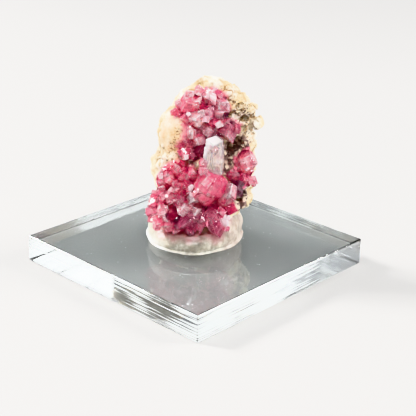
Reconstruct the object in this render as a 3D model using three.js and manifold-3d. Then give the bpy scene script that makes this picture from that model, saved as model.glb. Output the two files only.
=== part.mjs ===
// A cobaltoan calcite specimen, stood in white mineral putty on a clear square acrylic base.
//
// All sizes are millimetres, +Z is up, and the origin is the centre of the base's underside.
// The base's sides run along X and Y. The specimen looks out over one corner of it, so the
// specimen is modelled in a frame of its own, which is then turned about Z: there x runs to the
// specimen's right, y to its back and z up from the base's top face.
//
// The rock is one lofted stone with lumps added and pits taken away. Each group of crystals is
// a thin crust on the rock with calcite crystals fused into it: every crystal is a ring or two
// of six points between two tips, which is what calcite's threefold forms come down to.

import * as THREE from "three";
import { ConvexGeometry } from "three/addons/geometries/ConvexGeometry.js";
import { mergeVertices } from "three/addons/utils/BufferGeometryUtils.js";
import Module from "manifold-3d";

// ---------------------------------------------------------------- driving dimensions

const BASE_SIDE = 38.1; // a 1.5 inch square
const BASE_THICKNESS = 4.4; // what is sold as 3/16 inch cast sheet
const BASE_CHAMFER = 0.25;
const SPECIMEN_TURN = THREE.MathUtils.degToRad(43.2);

const FIT_GAP = 0.3; // between pieces that grip each other
const PUTTY_LIFT = 0.05; // between the putty and the base

const PUTTY_RADIUS = 7.6;
const PUTTY_CENTRE = new THREE.Vector2(-0.25, 0.9);
const CRUST_THICKNESS = 0.75;

// How finely each thing is faceted.
const ROCK_DETAIL = 9;
const LUMP_DETAIL = 1;
const CRUST_DETAIL = 3;
const PUTTY_SEGMENTS = 26;

// ---------------------------------------------------------------- solids and meshes

const wasm = await Module();
wasm.setup();

/** A closed solid from any closed three.js geometry. */
function solidOf(geometry) {
  const merged = weld(geometry);
  return new wasm.Manifold(
    new wasm.Mesh({
      numProp: 3,
      vertProperties: new Float32Array(merged.attributes.position.array),
      triVerts: new Uint32Array(merged.index.array),
    }),
  );
}

/** The same geometry with shared vertices and nothing but positions. */
function weld(geometry) {
  const bare = geometry.clone();
  bare.deleteAttribute("normal");
  bare.deleteAttribute("uv");
  return mergeVertices(bare, 1e-4);
}

function union(solids) {
  return solids.reduce((whole, next) => whole.add(next));
}

/** The largest of the separate bodies that a cut leaves. */
function mainBody(solid) {
  return solid.decompose().reduce((a, b) => (a.volume() > b.volume() ? a : b));
}

function meshOf(name, solid, material) {
  const { numProp, numVert, vertProperties, triVerts } = solid.getMesh();
  const positions = new Float32Array(numVert * 3);
  for (let i = 0; i < numVert; i++) {
    positions.set(vertProperties.subarray(i * numProp, i * numProp + 3), i * 3);
  }
  const geometry = new THREE.BufferGeometry();
  geometry.setAttribute("position", new THREE.BufferAttribute(positions, 3));
  geometry.setIndex(new THREE.BufferAttribute(new Uint32Array(triVerts), 1));
  geometry.computeVertexNormals();
  const mesh = new THREE.Mesh(geometry, material);
  mesh.name = name;
  return mesh;
}

// ---------------------------------------------------------------- natural roughness

/** A seeded random number from 0 to 1, the same on every run. */
function seeded(seed) {
  let state = seed;
  return () => {
    state = (Math.imul(state, 1664525) + 1013904223) >>> 0;
    return state / 4294967296;
  };
}

/** How far the weathered rock stands out or in at a point. */
function ruggedness({ x, y, z }) {
  const swell = Math.sin(0.9 * x + 0.7 * z + 1.3) * Math.sin(1.1 * y - 0.8 * z + 0.4);
  const lumps = Math.sin(2.1 * x - 1.3 * z) * Math.sin(1.9 * y + 1.7 * z + 2.0);
  const chips = Math.sin(3.1 * x + 2.3 * y) * Math.sin(3.4 * z - 2.1 * x + 0.7);
  return 0.24 * swell + 0.22 * lumps + 0.14 * chips;
}

/** Moves each vertex of a welded geometry along its own normal by what distance(point) says. */
function pushOut(geometry, distance) {
  geometry.computeVertexNormals();
  const position = geometry.attributes.position;
  const normal = geometry.attributes.normal;
  const point = new THREE.Vector3();
  const outward = new THREE.Vector3();
  for (let i = 0; i < position.count; i++) {
    point.fromBufferAttribute(position, i);
    outward.fromBufferAttribute(normal, i);
    point.addScaledVector(outward, distance(point));
    position.setXYZ(i, point.x, point.y, point.z);
  }
  return geometry;
}

const LUMP_ROUGHNESS = 0.5; // how rugged a small lump is, against the whole stone

/** A rounded lump with half sizes along x, y and z. */
function boulder([x, y, z], [rx, ry, rz], grow) {
  const ball = weld(new THREE.IcosahedronGeometry(1, LUMP_DETAIL));
  ball.scale(rx, ry, rz);
  ball.translate(x, y, z);
  return solidOf(pushOut(ball, (p) => LUMP_ROUGHNESS * ruggedness(p) + grow));
}

// ---------------------------------------------------------------- rock

// Each station up the stone: the left and right outline as [x, z], then the front and back y.
const ROCK_STATIONS = [
  { left: [0.6, 0.9], right: [0.6, 0.9], front: 0.8, back: 0.8 },
  { left: [-3.8, 1.1], right: [3.9, 1.1], front: -2.5, back: 3.9 },
  { left: [-5.2, 3.0], right: [5.6, 3.4], front: -3.4, back: 4.9 },
  { left: [-6.0, 6.2], right: [8.5, 6.3], front: -3.5, back: 5.6 },
  { left: [-6.6, 9.0], right: [8.8, 9.0], front: -3.1, back: 6.0 },
  { left: [-7.3, 11.2], right: [9.0, 11.8], front: -2.7, back: 6.2 },
  { left: [-6.1, 14.6], right: [9.0, 14.8], front: -2.2, back: 6.2 },
  { left: [-6.1, 17.8], right: [9.0, 17.4], front: -2.2, back: 6.0 },
  { left: [-4.9, 20.4], right: [8.7, 19.9], front: -2.0, back: 5.6 },
  { left: [-3.7, 22.2], right: [8.0, 22.2], front: -1.3, back: 5.2 },
  { left: [-2.3, 24.0], right: [6.9, 24.1], front: -0.5, back: 4.4 },
  { left: [-0.5, 25.5], right: [4.7, 25.5], front: 0.3, back: 3.0 },
  { left: [1.4, 26.6], right: [1.4, 26.6], front: 1.3, back: 1.3 },
];
const ROCK_SQUARENESS = 0.9; // 1 is an oval section, and less is boxier

// Where the stone swells or, with a height below nought, is hollowed: place, reach and height.
const ROCK_RELIEF = [
  { at: [-3.6, -2.2, 18.0], reach: 4.2, height: 1.3 }, // the smooth dome on the left
  { at: [-5.8, -1.6, 15.0], reach: 2.2, height: -0.5 },
  { at: [-5.6, -2.0, 12.0], reach: 3.2, height: 0.8 },
  { at: [1.6, -0.4, 25.4], reach: 2.0, height: 0.5 },
  { at: [4.8, -0.6, 24.6], reach: 2.2, height: 0.6 },
  { at: [3.2, -0.4, 25.6], reach: 1.2, height: -0.4 },
  { at: [6.6, -0.8, 23.0], reach: 1.8, height: 0.5 },
  { at: [8.4, -0.2, 20.9], reach: 2.6, height: 0.9 },
  { at: [8.2, -0.8, 18.8], reach: 1.4, height: 0.4 },
  { at: [7.8, -1.2, 16.8], reach: 1.5, height: 0.5 },
  { at: [5.8, -2.4, 15.6], reach: 3.0, height: -1.6 }, // the dark vug beside the clear crystal
  { at: [5.2, -2.6, 12.8], reach: 2.5, height: -1.5 },
  { at: [6.4, -2.6, 8.4], reach: 2.2, height: -1.3 },
  { at: [8.2, -1.0, 6.2], reach: 2.0, height: 0.5 }, // the foot on the right
  { at: [-3.4, 5.0, 8.6], reach: 4.0, height: 1.2 }, // knuckles and hollows on the back
  { at: [3.6, 6.2, 13.6], reach: 4.2, height: 1.1 },
  { at: [0.2, 5.6, 19.4], reach: 3.6, height: 1.0 },
  { at: [-4.6, 4.2, 14.6], reach: 3.0, height: -1.4 },
  { at: [2.4, 6.0, 9.0], reach: 3.0, height: -1.3 },
  { at: [6.4, 4.8, 17.6], reach: 3.0, height: -1.4 },
];

// Knobs that stand off the right edge, and pits too sharp for the relief.
const ROCK_KNOBS = [
  { at: [8.0, 0.1, 21.7], size: [1.3, 1.5, 1.1] },
  { at: [9.1, 0.2, 19.7], size: [1.15, 1.3, 1.1] },
];
const ROCK_PITS = [
  { at: [5.9, -0.5, 15.9], size: [1.5, 1.5, 1.7] },
  { at: [6.6, -0.5, 22.1], size: [0.9, 0.9, 0.8] },
  { at: [5.3, -1.3, 20.9], size: [1.1, 0.8, 0.6] },
  { at: [7.2, -0.6, 20.5], size: [0.7, 0.7, 0.6] },
  { at: [6.6, -1.0, 8.2], size: [1.0, 1.3, 1.3] },
];

/** How far the relief lifts or sinks the stone at a point. */
function relief(point) {
  return ROCK_RELIEF.reduce((sum, { at, reach, height }) => {
    const share = point.distanceTo(new THREE.Vector3(...at)) / reach;
    return share < 1 ? sum + height * (1 - share ** 2) ** 2 : sum;
  }, 0);
}

/** The stone between its outlines: a ball wrapped onto the stations and given its relief. */
function stone(grow = 0, detail = ROCK_DETAIL) {
  const track = (pick) => new THREE.SplineCurve(ROCK_STATIONS.map((s) => new THREE.Vector2(...pick(s))));
  const leftEdge = track((s) => s.left);
  const rightEdge = track((s) => s.right);
  const depth = track((s) => [s.front, s.back]);
  const ball = weld(new THREE.IcosahedronGeometry(1, detail));
  const position = ball.attributes.position;
  const squared = (v) => Math.sign(v) * Math.abs(v) ** ROCK_SQUARENESS;
  for (let i = 0; i < position.count; i++) {
    const t = 1 - Math.acos(THREE.MathUtils.clamp(position.getY(i), -1, 1)) / Math.PI;
    const angle = Math.atan2(position.getZ(i), position.getX(i));
    const across = squared(Math.cos(angle));
    const through = squared(Math.sin(angle));
    const left = leftEdge.getPoint(t);
    const right = rightEdge.getPoint(t);
    const { x: front, y: back } = depth.getPoint(t);
    const x = (left.x + right.x) / 2 + (across * (right.x - left.x)) / 2;
    const z = (left.y + right.y) / 2 + (across * (right.y - left.y)) / 2;
    const y = (front + back) / 2 - (through * (back - front)) / 2;
    position.setXYZ(i, x, y, z);
  }
  const rugged = pushOut(ball, (p) => ruggedness(p) + relief(p));
  return solidOf(grow === 0 ? rugged : pushOut(rugged, () => grow));
}

function rock(grow = 0) {
  const knobs = ROCK_KNOBS.map(({ at, size }) => boulder(at, size, grow));
  const pits = ROCK_PITS.map(({ at, size }) => boulder(at, size, -grow));
  return union([stone(grow), ...knobs]).subtract(union(pits));
}

// ---------------------------------------------------------------- crystals

// Calcite's end faces: slope is how steeply they fall away from the tip, as rise over run.
const SLOPE = { flat: 0.5, block: 1.0, steep: 1.9 };
const TOOTH_ZIGZAG = 0.07; // how far a dogtooth's waist rises and falls, as a share of its length

/** One crystal about the origin with its long axis up z. Too short a length is made up to fit. */
function crystal(girth, length, habit) {
  const steepness = SLOPE[habit] ?? 0;
  const tip = Math.max(length, 1.5 * steepness * girth) / 2;
  const points = [new THREE.Vector3(0, 0, tip), new THREE.Vector3(0, 0, -tip)];
  for (let corner = 0; corner < 6; corner++) {
    const angle = (corner * Math.PI) / 3;
    const x = girth * Math.cos(angle);
    const y = girth * Math.sin(angle);
    const even = corner % 2 === 0;
    if (habit === "tooth") {
      points.push(new THREE.Vector3(x, y, (even ? 1 : -1) * TOOTH_ZIGZAG * length));
      continue;
    }
    const drop = steepness * girth;
    points.push(new THREE.Vector3(x, y, tip - (even ? drop : drop / 2)));
    points.push(new THREE.Vector3(x, y, (even ? drop / 2 : drop) - tip));
  }
  return new ConvexGeometry(points);
}

/** A crystal at a point, with its long axis along a direction and turned about it by spin. */
function placedCrystal({ at, along, girth, length, habit, spin }, grow) {
  const geometry = crystal(girth + grow, length + 2 * grow, habit);
  const upright = new THREE.Vector3(0, 0, 1);
  const axis = new THREE.Vector3(...along).normalize();
  const turn = new THREE.Quaternion().setFromUnitVectors(upright, axis);
  const roll = new THREE.Quaternion().setFromAxisAngle(upright, spin);
  geometry.applyQuaternion(turn.multiply(roll));
  geometry.translate(...at);
  return solidOf(geometry);
}

// The small crystal that crowds the foot of each thick one. Shares are of the main one's girth
// or, for the slide along it, of its length.
const BROOD = {
  mainGirth: 1.2, // the least girth of a main crystal that has one
  reach: [0.75, 1.2],
  girth: [0.38, 0.6],
  slide: 0.3,
  splay: 0.9, // how far its axis leans off the main one's
  blockShare: 0.6, // how many are blocks, and the rest are steep
};

/** A main crystal, with its small one if it is thick enough to have one. */
function family(main, index) {
  const random = seeded(7919 * (index + 1));
  const centred = () => random() * 2 - 1;
  const between = ([low, high]) => low + (high - low) * random();
  const grown = { ...main, spin: main.spin ?? random() * 2 };
  if (main.girth < BROOD.mainGirth) {
    return [grown];
  }
  const axis = new THREE.Vector3(...main.along).normalize();
  const scatter = new THREE.Vector3(centred(), centred(), centred());
  const offset = scatter.clone().projectOnPlane(axis).normalize();
  offset.multiplyScalar(main.girth * between(BROOD.reach));
  offset.addScaledVector(axis, main.length * BROOD.slide * centred());
  const small = {
    at: main.at.map((value, k) => value + offset.getComponent(k)),
    along: axis.clone().addScaledVector(scatter, BROOD.splay).toArray(),
    girth: main.girth * between(BROOD.girth),
    length: 0,
    habit: random() < BROOD.blockShare ? "block" : "steep",
    spin: random() * 2,
  };
  return [grown, small];
}

const c = (at, along, girth, habit, length = 0) => ({ at, along, girth, habit, length });

// Main crystals of each group: centre, direction of the long axis, girth, habit and length.
const UPPER_CRYSTALS = [
  c([-1.3, -1.8, 22.9], [-0.2, -0.75, 0.45], 1.9, "block"),
  c([-1.4, -1.3, 24.2], [-0.5, -0.3, 0.8], 1.2, "block"),
  c([-2.9, -1.2, 22.7], [-0.8, -0.4, 0.2], 1.0, "block"),
  c([0.2, -1.3, 24.7], [-0.1, -0.4, 0.9], 0.9, "steep"),
  c([1.6, -1.2, 24.4], [0.2, -0.55, 0.85], 1.35, "block"),
  c([3.2, -1.1, 24.3], [0.5, -0.2, 0.8], 1.0, "block"),
  c([3.8, -1.8, 22.9], [0.62, -0.5, -0.55], 1.05, "steep", 3.4),
  c([2.4, -1.9, 23.4], [0.3, -0.7, 0.4], 0.8, "steep"),
  c([-0.1, -2.8, 20.9], [-0.1, -0.9, 0.3], 1.35, "block", 2.6),
  c([-1.9, -2.4, 20.8], [-0.5, -0.8, 0.2], 1.0, "block"),
  c([1.5, -2.5, 21.8], [0.1, -0.8, 0.6], 1.35, "block", 2.4),
  c([3.1, -2.3, 21.6], [0.6, -0.7, 0.3], 1.05, "steep"),
  c([2.3, -2.8, 20.5], [0.0, -0.95, 0.1], 1.0, "block"),
  c([3.3, -2.8, 19.9], [0.25, -0.6, 0.75], 1.2, "block"),
  c([4.7, -2.5, 18.9], [0.45, -0.35, -0.8], 1.45, "steep", 4.0),
  c([6.1, -2.2, 19.2], [0.8, -0.4, 0.1], 0.9, "block"),
  c([1.6, -2.9, 19.2], [0.1, -0.8, 0.6], 1.2, "block"),
  c([-0.8, -2.9, 18.6], [-0.5, -0.5, 0.7], 0.9, "steep", 3.0),
  c([0.2, -2.9, 17.6], [0.1, -0.8, -0.5], 1.15, "block", 2.4),
  c([-3.4, -1.6, 21.5], [-0.7, -0.6, 0.2], 0.85, "block"),
  c([0.4, -2.4, 15.7], [0.3, -0.5, 0.8], 1.15, "steep", 3.8),
  c([-1.7, -2.8, 15.5], [-0.5, -0.6, 0.6], 1.15, "block", 2.2),
];

const LOWER_CRYSTALS = [
  // the crust of small blocks on the left
  c([-3.3, -3.1, 13.2], [-0.2, -0.6, 0.8], 1.0, "block"),
  c([-1.9, -3.6, 12.1], [-0.2, -0.8, 0.5], 1.3, "block"),
  c([-0.6, -4.0, 12.4], [0.1, -0.8, 0.6], 1.0, "steep"),
  c([-4.3, -3.2, 11.6], [-0.6, -0.6, 0.4], 1.2, "block"),
  c([-5.4, -2.7, 10.3], [-0.7, -0.6, 0.3], 1.1, "block"),
  c([-2.9, -3.4, 10.3], [-0.1, -0.8, 0.6], 1.4, "block"),
  c([-1.2, -4.1, 10.6], [0.1, -0.9, 0.2], 1.1, "block"),
  c([-5.7, -3.4, 8.5], [-0.8, -0.5, 0.2], 1.25, "block"),
  c([-4.2, -4.2, 8.6], [-0.3, -0.9, 0.1], 1.2, "block"),
  c([-2.5, -4.6, 8.1], [0.0, -0.9, 0.3], 1.25, "block"),
  c([-6.6, -3.3, 6.9], [-0.9, -0.4, 0.1], 1.2, "block"),
  c([-5.3, -4.5, 6.6], [-0.5, -0.8, 0.2], 1.2, "block"),
  c([-7.3, -3.2, 5.4], [-0.8, -0.4, -0.3], 1.3, "block"),
  c([-5.7, -4.3, 4.4], [-0.5, -0.7, -0.5], 1.25, "steep"),
  c([-4.1, -4.9, 4.0], [-0.2, -0.7, -0.7], 1.15, "block", 2.4),
  c([-1.7, -4.9, 7.0], [0.0, -0.7, 0.7], 1.5, "block"),
  c([-0.4, -4.5, 8.4], [0.1, -0.9, 0.3], 1.0, "steep"),
  c([-6.6, -1.4, 6.6], [-0.95, 0.0, 0.2], 1.2, "block"),
  // the great crystal in the middle and its two knobs
  c([1.1, -3.9, 14.3], [-0.1, -0.6, 0.8], 0.85, "block", 1.8),
  c([1.0, -4.4, 13.1], [-0.2, -0.8, 0.5], 0.85, "block", 1.8),
  c([2.3, -4.5, 11.1], [0.3, -0.72, 0.62], 2.6, "block", 4.5),
  c([1.4, -4.9, 9.4], [-0.2, -0.85, -0.45], 2.0, "block", 3.8),
  // those that lean out on its right
  c([4.6, -4.1, 8.2], [0.45, -0.5, 0.75], 1.35, "steep", 4.6),
  c([5.3, -3.7, 6.8], [0.85, -0.4, -0.2], 1.15, "steep", 3.2),
  c([3.9, -4.7, 6.4], [0.1, -0.8, -0.5], 1.1, "steep"),
  // the spray of long crystals at the bottom
  c([-1.0, -5.1, 5.3], [-0.78, -0.25, -0.5], 1.45, "steep", 6.4),
  c([2.9, -5.3, 4.9], [0.32, -0.3, -0.88], 1.3, "steep", 5.8),
  c([1.0, -5.4, 5.2], [-0.1, -0.5, -0.85], 1.0, "tooth", 4.8),
  c([4.2, -4.8, 5.4], [0.5, -0.4, -0.75], 0.9, "tooth", 3.6),
  c([0.0, -5.3, 4.2], [-0.35, -0.5, -0.8], 0.75, "tooth", 3.2),
  c([-2.7, -5.2, 4.0], [-0.45, -0.5, -0.75], 0.95, "steep", 3.0),
];

const RIGHT_CRYSTALS = [
  c([7.7, -1.7, 13.8], [0.25, -0.6, 0.75], 1.55, "block", 4.2),
  c([8.3, -1.5, 12.3], [0.8, -0.5, 0.0], 0.95, "block"),
  c([6.6, -2.2, 13.0], [-0.1, -0.9, 0.2], 0.85, "block"),
  c([7.4, -2.5, 11.2], [0.2, -0.85, 0.2], 1.2, "block"),
  c([6.0, -2.6, 11.7], [-0.3, -0.9, 0.0], 0.95, "block"),
  c([8.5, -1.8, 10.7], [0.8, -0.4, -0.2], 0.95, "steep"),
];

// Balls that mark out where each group's crust covers the rock.
const UPPER_CRUST = [
  { at: [-0.6, -2.0, 22.6], size: [3.0, 2.6, 2.2] },
  { at: [2.6, -2.4, 22.6], size: [2.6, 2.4, 2.4] },
  { at: [1.2, -2.8, 19.4], size: [3.2, 2.6, 2.4] },
  { at: [-0.6, -2.6, 16.8], size: [1.9, 2.4, 2.6] },
  { at: [4.6, -2.4, 19.2], size: [1.9, 2.0, 1.6] },
];
const LOWER_CRUST = [
  { at: [-3.2, -3.2, 11.0], size: [3.3, 2.8, 2.8] },
  { at: [-4.6, -3.2, 6.8], size: [3.0, 3.4, 3.6] },
  { at: [0.6, -3.8, 8.8], size: [3.6, 2.8, 4.2] },
  { at: [3.4, -3.6, 7.6], size: [2.6, 2.6, 3.2] },
];
const RIGHT_CRUST = [
  { at: [7.6, -1.6, 13.4], size: [1.6, 2.2, 2.2] },
  { at: [7.2, -2.4, 11.4], size: [1.9, 2.2, 1.4] },
];

/** A group of crystals with its crust, reaching a little into the rock. */
function crystalGroup(mains, crustBalls, grow = 0) {
  const families = mains.flatMap(family);
  const crystals = families.map((member) => placedCrystal(member, grow));
  const extent = union(crustBalls.map(({ at, size }) => boulder(at, size, grow)));
  const crust = stone(CRUST_THICKNESS + grow, CRUST_DETAIL).intersect(extent);
  return union([crust, ...crystals]);
}

// ---------------------------------------------------------------- clear crystal

// A blunt prism with two shorter ones grown onto its sides as steps.
const CLEAR_CRYSTALS = [
  { ...c([2.7, -3.1, 15.1], [0.02, -0.06, 1.0], 1.5, "flat", 6.6), spin: 0.35 },
  { ...c([3.0, -3.3, 14.6], [0.0, -0.06, 1.0], 1.3, "flat", 5.8), spin: 0.35 },
  { ...c([2.2, -3.4, 14.4], [0.1, -0.08, 1.0], 1.35, "flat", 5.4), spin: 0.35 },
];

function clearCrystal(grow = 0) {
  return union(CLEAR_CRYSTALS.map((member) => placedCrystal(member, grow)));
}

// ---------------------------------------------------------------- putty

const PUTTY_PROFILE = [
  [0, 0],
  [7.2, 0],
  [7.5, 0.35],
  [PUTTY_RADIUS, 1.0],
  [7.45, 1.7],
  [6.9, 2.3],
  [5.8, 2.8],
  [0, 3.0],
];

// It is pushed up on the right, where it stands higher by a share that grows with x.
const PUTTY_RISE = { share: 0.9, from: 1.5, to: 7.0 };

// The dents of the fingers that pressed it, as waves round its edge.
const PUTTY_DENTS = [
  { waves: 3, depth: 0.018, turn: 0.6 },
  { waves: 7, depth: 0.012, turn: 0 },
];

/** How far the edge stands out in one direction, as a share of its radius. */
function pressed(angle) {
  return PUTTY_DENTS.reduce((sum, { waves, depth, turn }) => sum + depth * Math.sin(waves * angle + turn), 1);
}

function putty() {
  const outline = PUTTY_PROFILE.map(([radius, height]) => new THREE.Vector2(radius, height));
  const pat = weld(new THREE.LatheGeometry(outline, PUTTY_SEGMENTS));
  pat.rotateX(Math.PI / 2); // the lathe turns about y, and the putty stands on z
  const position = pat.attributes.position;
  for (let i = 0; i < position.count; i++) {
    const x = position.getX(i);
    const y = position.getY(i);
    const spread = pressed(Math.atan2(y, x));
    const rise = 1 + PUTTY_RISE.share * THREE.MathUtils.smoothstep(x, PUTTY_RISE.from, PUTTY_RISE.to);
    position.setXYZ(
      i,
      x * spread + PUTTY_CENTRE.x,
      y * spread + PUTTY_CENTRE.y,
      position.getZ(i) * rise + PUTTY_LIFT,
    );
  }
  return solidOf(pat);
}

// ---------------------------------------------------------------- base

function base() {
  const half = BASE_SIDE / 2 - BASE_CHAMFER;
  const square = new THREE.Shape();
  square.moveTo(-half, -half);
  square.lineTo(half, -half);
  square.lineTo(half, half);
  square.lineTo(-half, half);
  square.closePath();
  const slab = new THREE.ExtrudeGeometry(square, {
    depth: BASE_THICKNESS - 2 * BASE_CHAMFER,
    bevelThickness: BASE_CHAMFER,
    bevelSize: BASE_CHAMFER,
    bevelSegments: 1,
  });
  slab.translate(0, 0, BASE_CHAMFER);
  return solidOf(slab);
}

// ---------------------------------------------------------------- assembly

const finish = (color, roughness, more = {}) =>
  new THREE.MeshStandardMaterial({ color, roughness, metalness: 0, ...more });
const acrylic = finish(0xf2f6f7, 0.05, { transparent: true, opacity: 0.3 });
const whitePutty = finish(0xdedccf, 0.5);
const creamRock = finish(0xe6d3ae, 0.9);
const pinkCalcite = finish(0xd8416f, 0.15);
const deepPinkCalcite = finish(0xc4325f, 0.15);
const clearCalcite = finish(0xe9dbe0, 0.12, { transparent: true, opacity: 0.7 });

const grownRock = rock(FIT_GAP);
const clearAround = clearCrystal(FIT_GAP);
const lowerAround = crystalGroup(LOWER_CRYSTALS, LOWER_CRUST, FIT_GAP);
const upperAround = crystalGroup(UPPER_CRYSTALS, UPPER_CRUST, FIT_GAP);

const lower = mainBody(
  crystalGroup(LOWER_CRYSTALS, LOWER_CRUST).subtract(grownRock).subtract(clearAround),
);
const upper = mainBody(
  crystalGroup(UPPER_CRYSTALS, UPPER_CRUST)
    .subtract(grownRock)
    .subtract(clearAround)
    .subtract(lowerAround),
);
const right = mainBody(
  crystalGroup(RIGHT_CRYSTALS, RIGHT_CRUST)
    .subtract(grownRock)
    .subtract(lowerAround)
    .subtract(upperAround),
);
const clear = mainBody(clearCrystal().subtract(grownRock));
const pressedPutty = mainBody(putty().subtract(grownRock).subtract(lowerAround));

const specimen = new THREE.Group();
specimen.add(
  meshOf("mounting_putty", pressedPutty, whitePutty),
  meshOf("matrix_rock", rock(), creamRock),
  meshOf("upper_pink_crystals", upper, pinkCalcite),
  meshOf("lower_pink_crystals", lower, deepPinkCalcite),
  meshOf("right_pink_crystals", right, pinkCalcite),
  meshOf("clear_crystal", clear, clearCalcite),
);
specimen.position.z = BASE_THICKNESS;
specimen.rotation.z = SPECIMEN_TURN;

const displayPiece = new THREE.Group();
displayPiece.add(meshOf("acrylic_base", base(), acrylic), specimen);

export default displayPiece;
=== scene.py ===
"""Finish for a cobaltoan calcite specimen in white putty on a clear acrylic base.

The specimen's own sizes are in millimetres in a frame of its own: x to its right, y to its back
and z up from the top face of the base. One matrix turns that frame on the base and brings it to
metres. Each piece is a class that builds its mesh there and gives it its finish.
"""

import logging
import math
import random
from collections.abc import Callable, Sequence
from dataclasses import dataclass, replace
from enum import Enum
from functools import partial

import bmesh
import bpy
from mathutils import Matrix, Quaternion, Vector, noise
from mathutils.kdtree import KDTree


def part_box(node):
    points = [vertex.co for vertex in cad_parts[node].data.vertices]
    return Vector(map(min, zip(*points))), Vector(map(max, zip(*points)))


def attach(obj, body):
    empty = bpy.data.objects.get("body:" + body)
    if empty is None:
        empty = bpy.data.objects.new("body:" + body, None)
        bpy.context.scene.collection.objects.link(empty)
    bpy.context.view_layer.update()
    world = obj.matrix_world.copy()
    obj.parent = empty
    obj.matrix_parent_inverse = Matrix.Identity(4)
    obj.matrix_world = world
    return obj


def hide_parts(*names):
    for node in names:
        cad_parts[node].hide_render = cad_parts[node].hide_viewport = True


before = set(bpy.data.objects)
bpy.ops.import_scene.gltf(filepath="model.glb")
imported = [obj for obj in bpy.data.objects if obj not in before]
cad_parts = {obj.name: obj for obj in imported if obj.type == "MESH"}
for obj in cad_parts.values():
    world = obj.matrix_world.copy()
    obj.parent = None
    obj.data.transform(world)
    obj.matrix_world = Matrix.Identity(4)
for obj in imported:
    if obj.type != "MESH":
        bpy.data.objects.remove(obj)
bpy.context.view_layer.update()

log = logging.getLogger("specimen")

Triple = tuple[float, float, float]
Ramp = tuple[tuple[float, str], ...]  # places and hex colours

MM = 0.001
NOISE_SEED = 2  # without one, noise vectors start from the clock
UP = Vector((0.0, 0.0, 1.0))
CRISP_FROM = math.radians(50.0)  # an edge that turns further stays crisp
FINE = 6  # how often the ball that the stone is shaped from is subdivided
FLAT_WITHIN = math.radians(1.0)  # faces that lean apart by less are one
# What a plain 32-bit congruential generator multiplies by, adds and wraps at.
DRAW_FACTOR, DRAW_SHIFT, DRAW_RANGE = 1664525, 1013904223, 2**32
BASE_LOW, BASE_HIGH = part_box("acrylic_base")
SPECIMEN_TURN = math.radians(43.2)  # the crystals face a corner of the base
SPECIMEN = (
    Matrix.Translation((0.0, 0.0, BASE_HIGH[2]))
    @ Matrix.Rotation(SPECIMEN_TURN, 4, "Z")
    @ Matrix.Scale(MM, 4)
)


# ------------------------------------------------------------------------------ shared helpers


def linear(hex_colour: str) -> tuple[float, float, float, float]:
    """Turns an sRGB hex colour to linear light.

    Args:
        hex_colour: Six hex digits after a hash sign.

    Returns:
        Linear red, green and blue, and an alpha of 1.
    """
    channels = [int(hex_colour[i : i + 2], 16) / 255 for i in (1, 3, 5)]
    bright = [c / 12.92 if c <= 0.04045 else ((c + 0.055) / 1.055) ** 2.4 for c in channels]
    return (bright[0], bright[1], bright[2], 1.0)


def add_node(tree: bpy.types.NodeTree, kind: str, values: dict) -> bpy.types.Node:
    """Adds one node to a tree.

    Args:
        tree: The node tree.
        kind: The node's type name, after "ShaderNode".
        values: Settings and links, by the name or number of an input or the name of a property.
            A socket is linked, and so is a node, by its first output in use. "stops" gives a
            colour ramp its places and hex colours, and "From" and "To" give both their limits.

    Returns:
        The new node.
    """
    made = tree.nodes.new("ShaderNode" + kind)
    for name, value in values.items():
        if isinstance(value, bpy.types.Node):
            value = next(socket for socket in value.outputs if socket.enabled)
        if isinstance(value, bpy.types.NodeSocket):
            tree.links.new(value, made.inputs[name])
        elif name == "stops":
            elements = made.color_ramp.elements
            while len(elements) < len(value):
                elements.new(1.0)
            for element, (place, colour) in zip(elements, value):
                element.position = place
                element.color = linear(colour)
        elif name in ("From", "To"):
            for end, limit in zip(("Min", "Max"), value):
                made.inputs[f"{name} {end}"].default_value = limit
        elif isinstance(name, int) or name in made.inputs:
            made.inputs[name].default_value = value
        else:
            setattr(made, name, value)
    return made


def every(millimetres: float) -> float:
    """Gives the scale of a pattern that repeats about every so many millimetres."""
    return 1.0 / (millimetres * MM)


def blank_material(name: str) -> tuple[bpy.types.Material, Callable[..., bpy.types.Node]]:
    """Makes an empty node material.

    Args:
        name: The material's name.

    Returns:
        The material, and a function that adds nodes to it.
    """
    material = bpy.data.materials.new(name)
    material.use_nodes = True
    material.node_tree.nodes.clear()
    return material, partial(add_node, material.node_tree)


def read_attributes(add: Callable[..., bpy.types.Node], *names: str) -> list[bpy.types.NodeSocket]:
    """Reads attributes of the mesh, each as one number."""
    return [add("Attribute", {"attribute_name": name}).outputs["Fac"] for name in names]


def smoothstep(value: float, low: float, high: float) -> float:
    """Eases from 0 at low to 1 at high."""
    share = min(max((value - low) / (high - low), 0.0), 1.0)
    return share * share * (3.0 - 2.0 * share)


def nearness(point: Vector, at: Triple, reach: float) -> float:
    """Gives 1 at a place, easing to 0 at its reach."""
    share = (point - Vector(at)).length / reach
    return (1.0 - share * share) ** 2 if share < 1.0 else 0.0


def fixed_order(place: Vector) -> tuple[float, ...]:
    """Gives a sorting key that puts places in the same order in every run."""
    return tuple(round(value, 4) for value in place)


def seeded(seed: int) -> Callable[[], float]:
    """Makes a small random number generator.

    Args:
        seed: Where its row of numbers starts.

    Returns:
        A function that gives the next number from 0 to 1.
    """
    state = seed

    def following() -> float:
        """Gives the next number.

        Returns:
            A number from 0 to 1.
        """
        nonlocal state
        state = (state * DRAW_FACTOR + DRAW_SHIFT) % DRAW_RANGE
        return state / DRAW_RANGE

    return following


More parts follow.
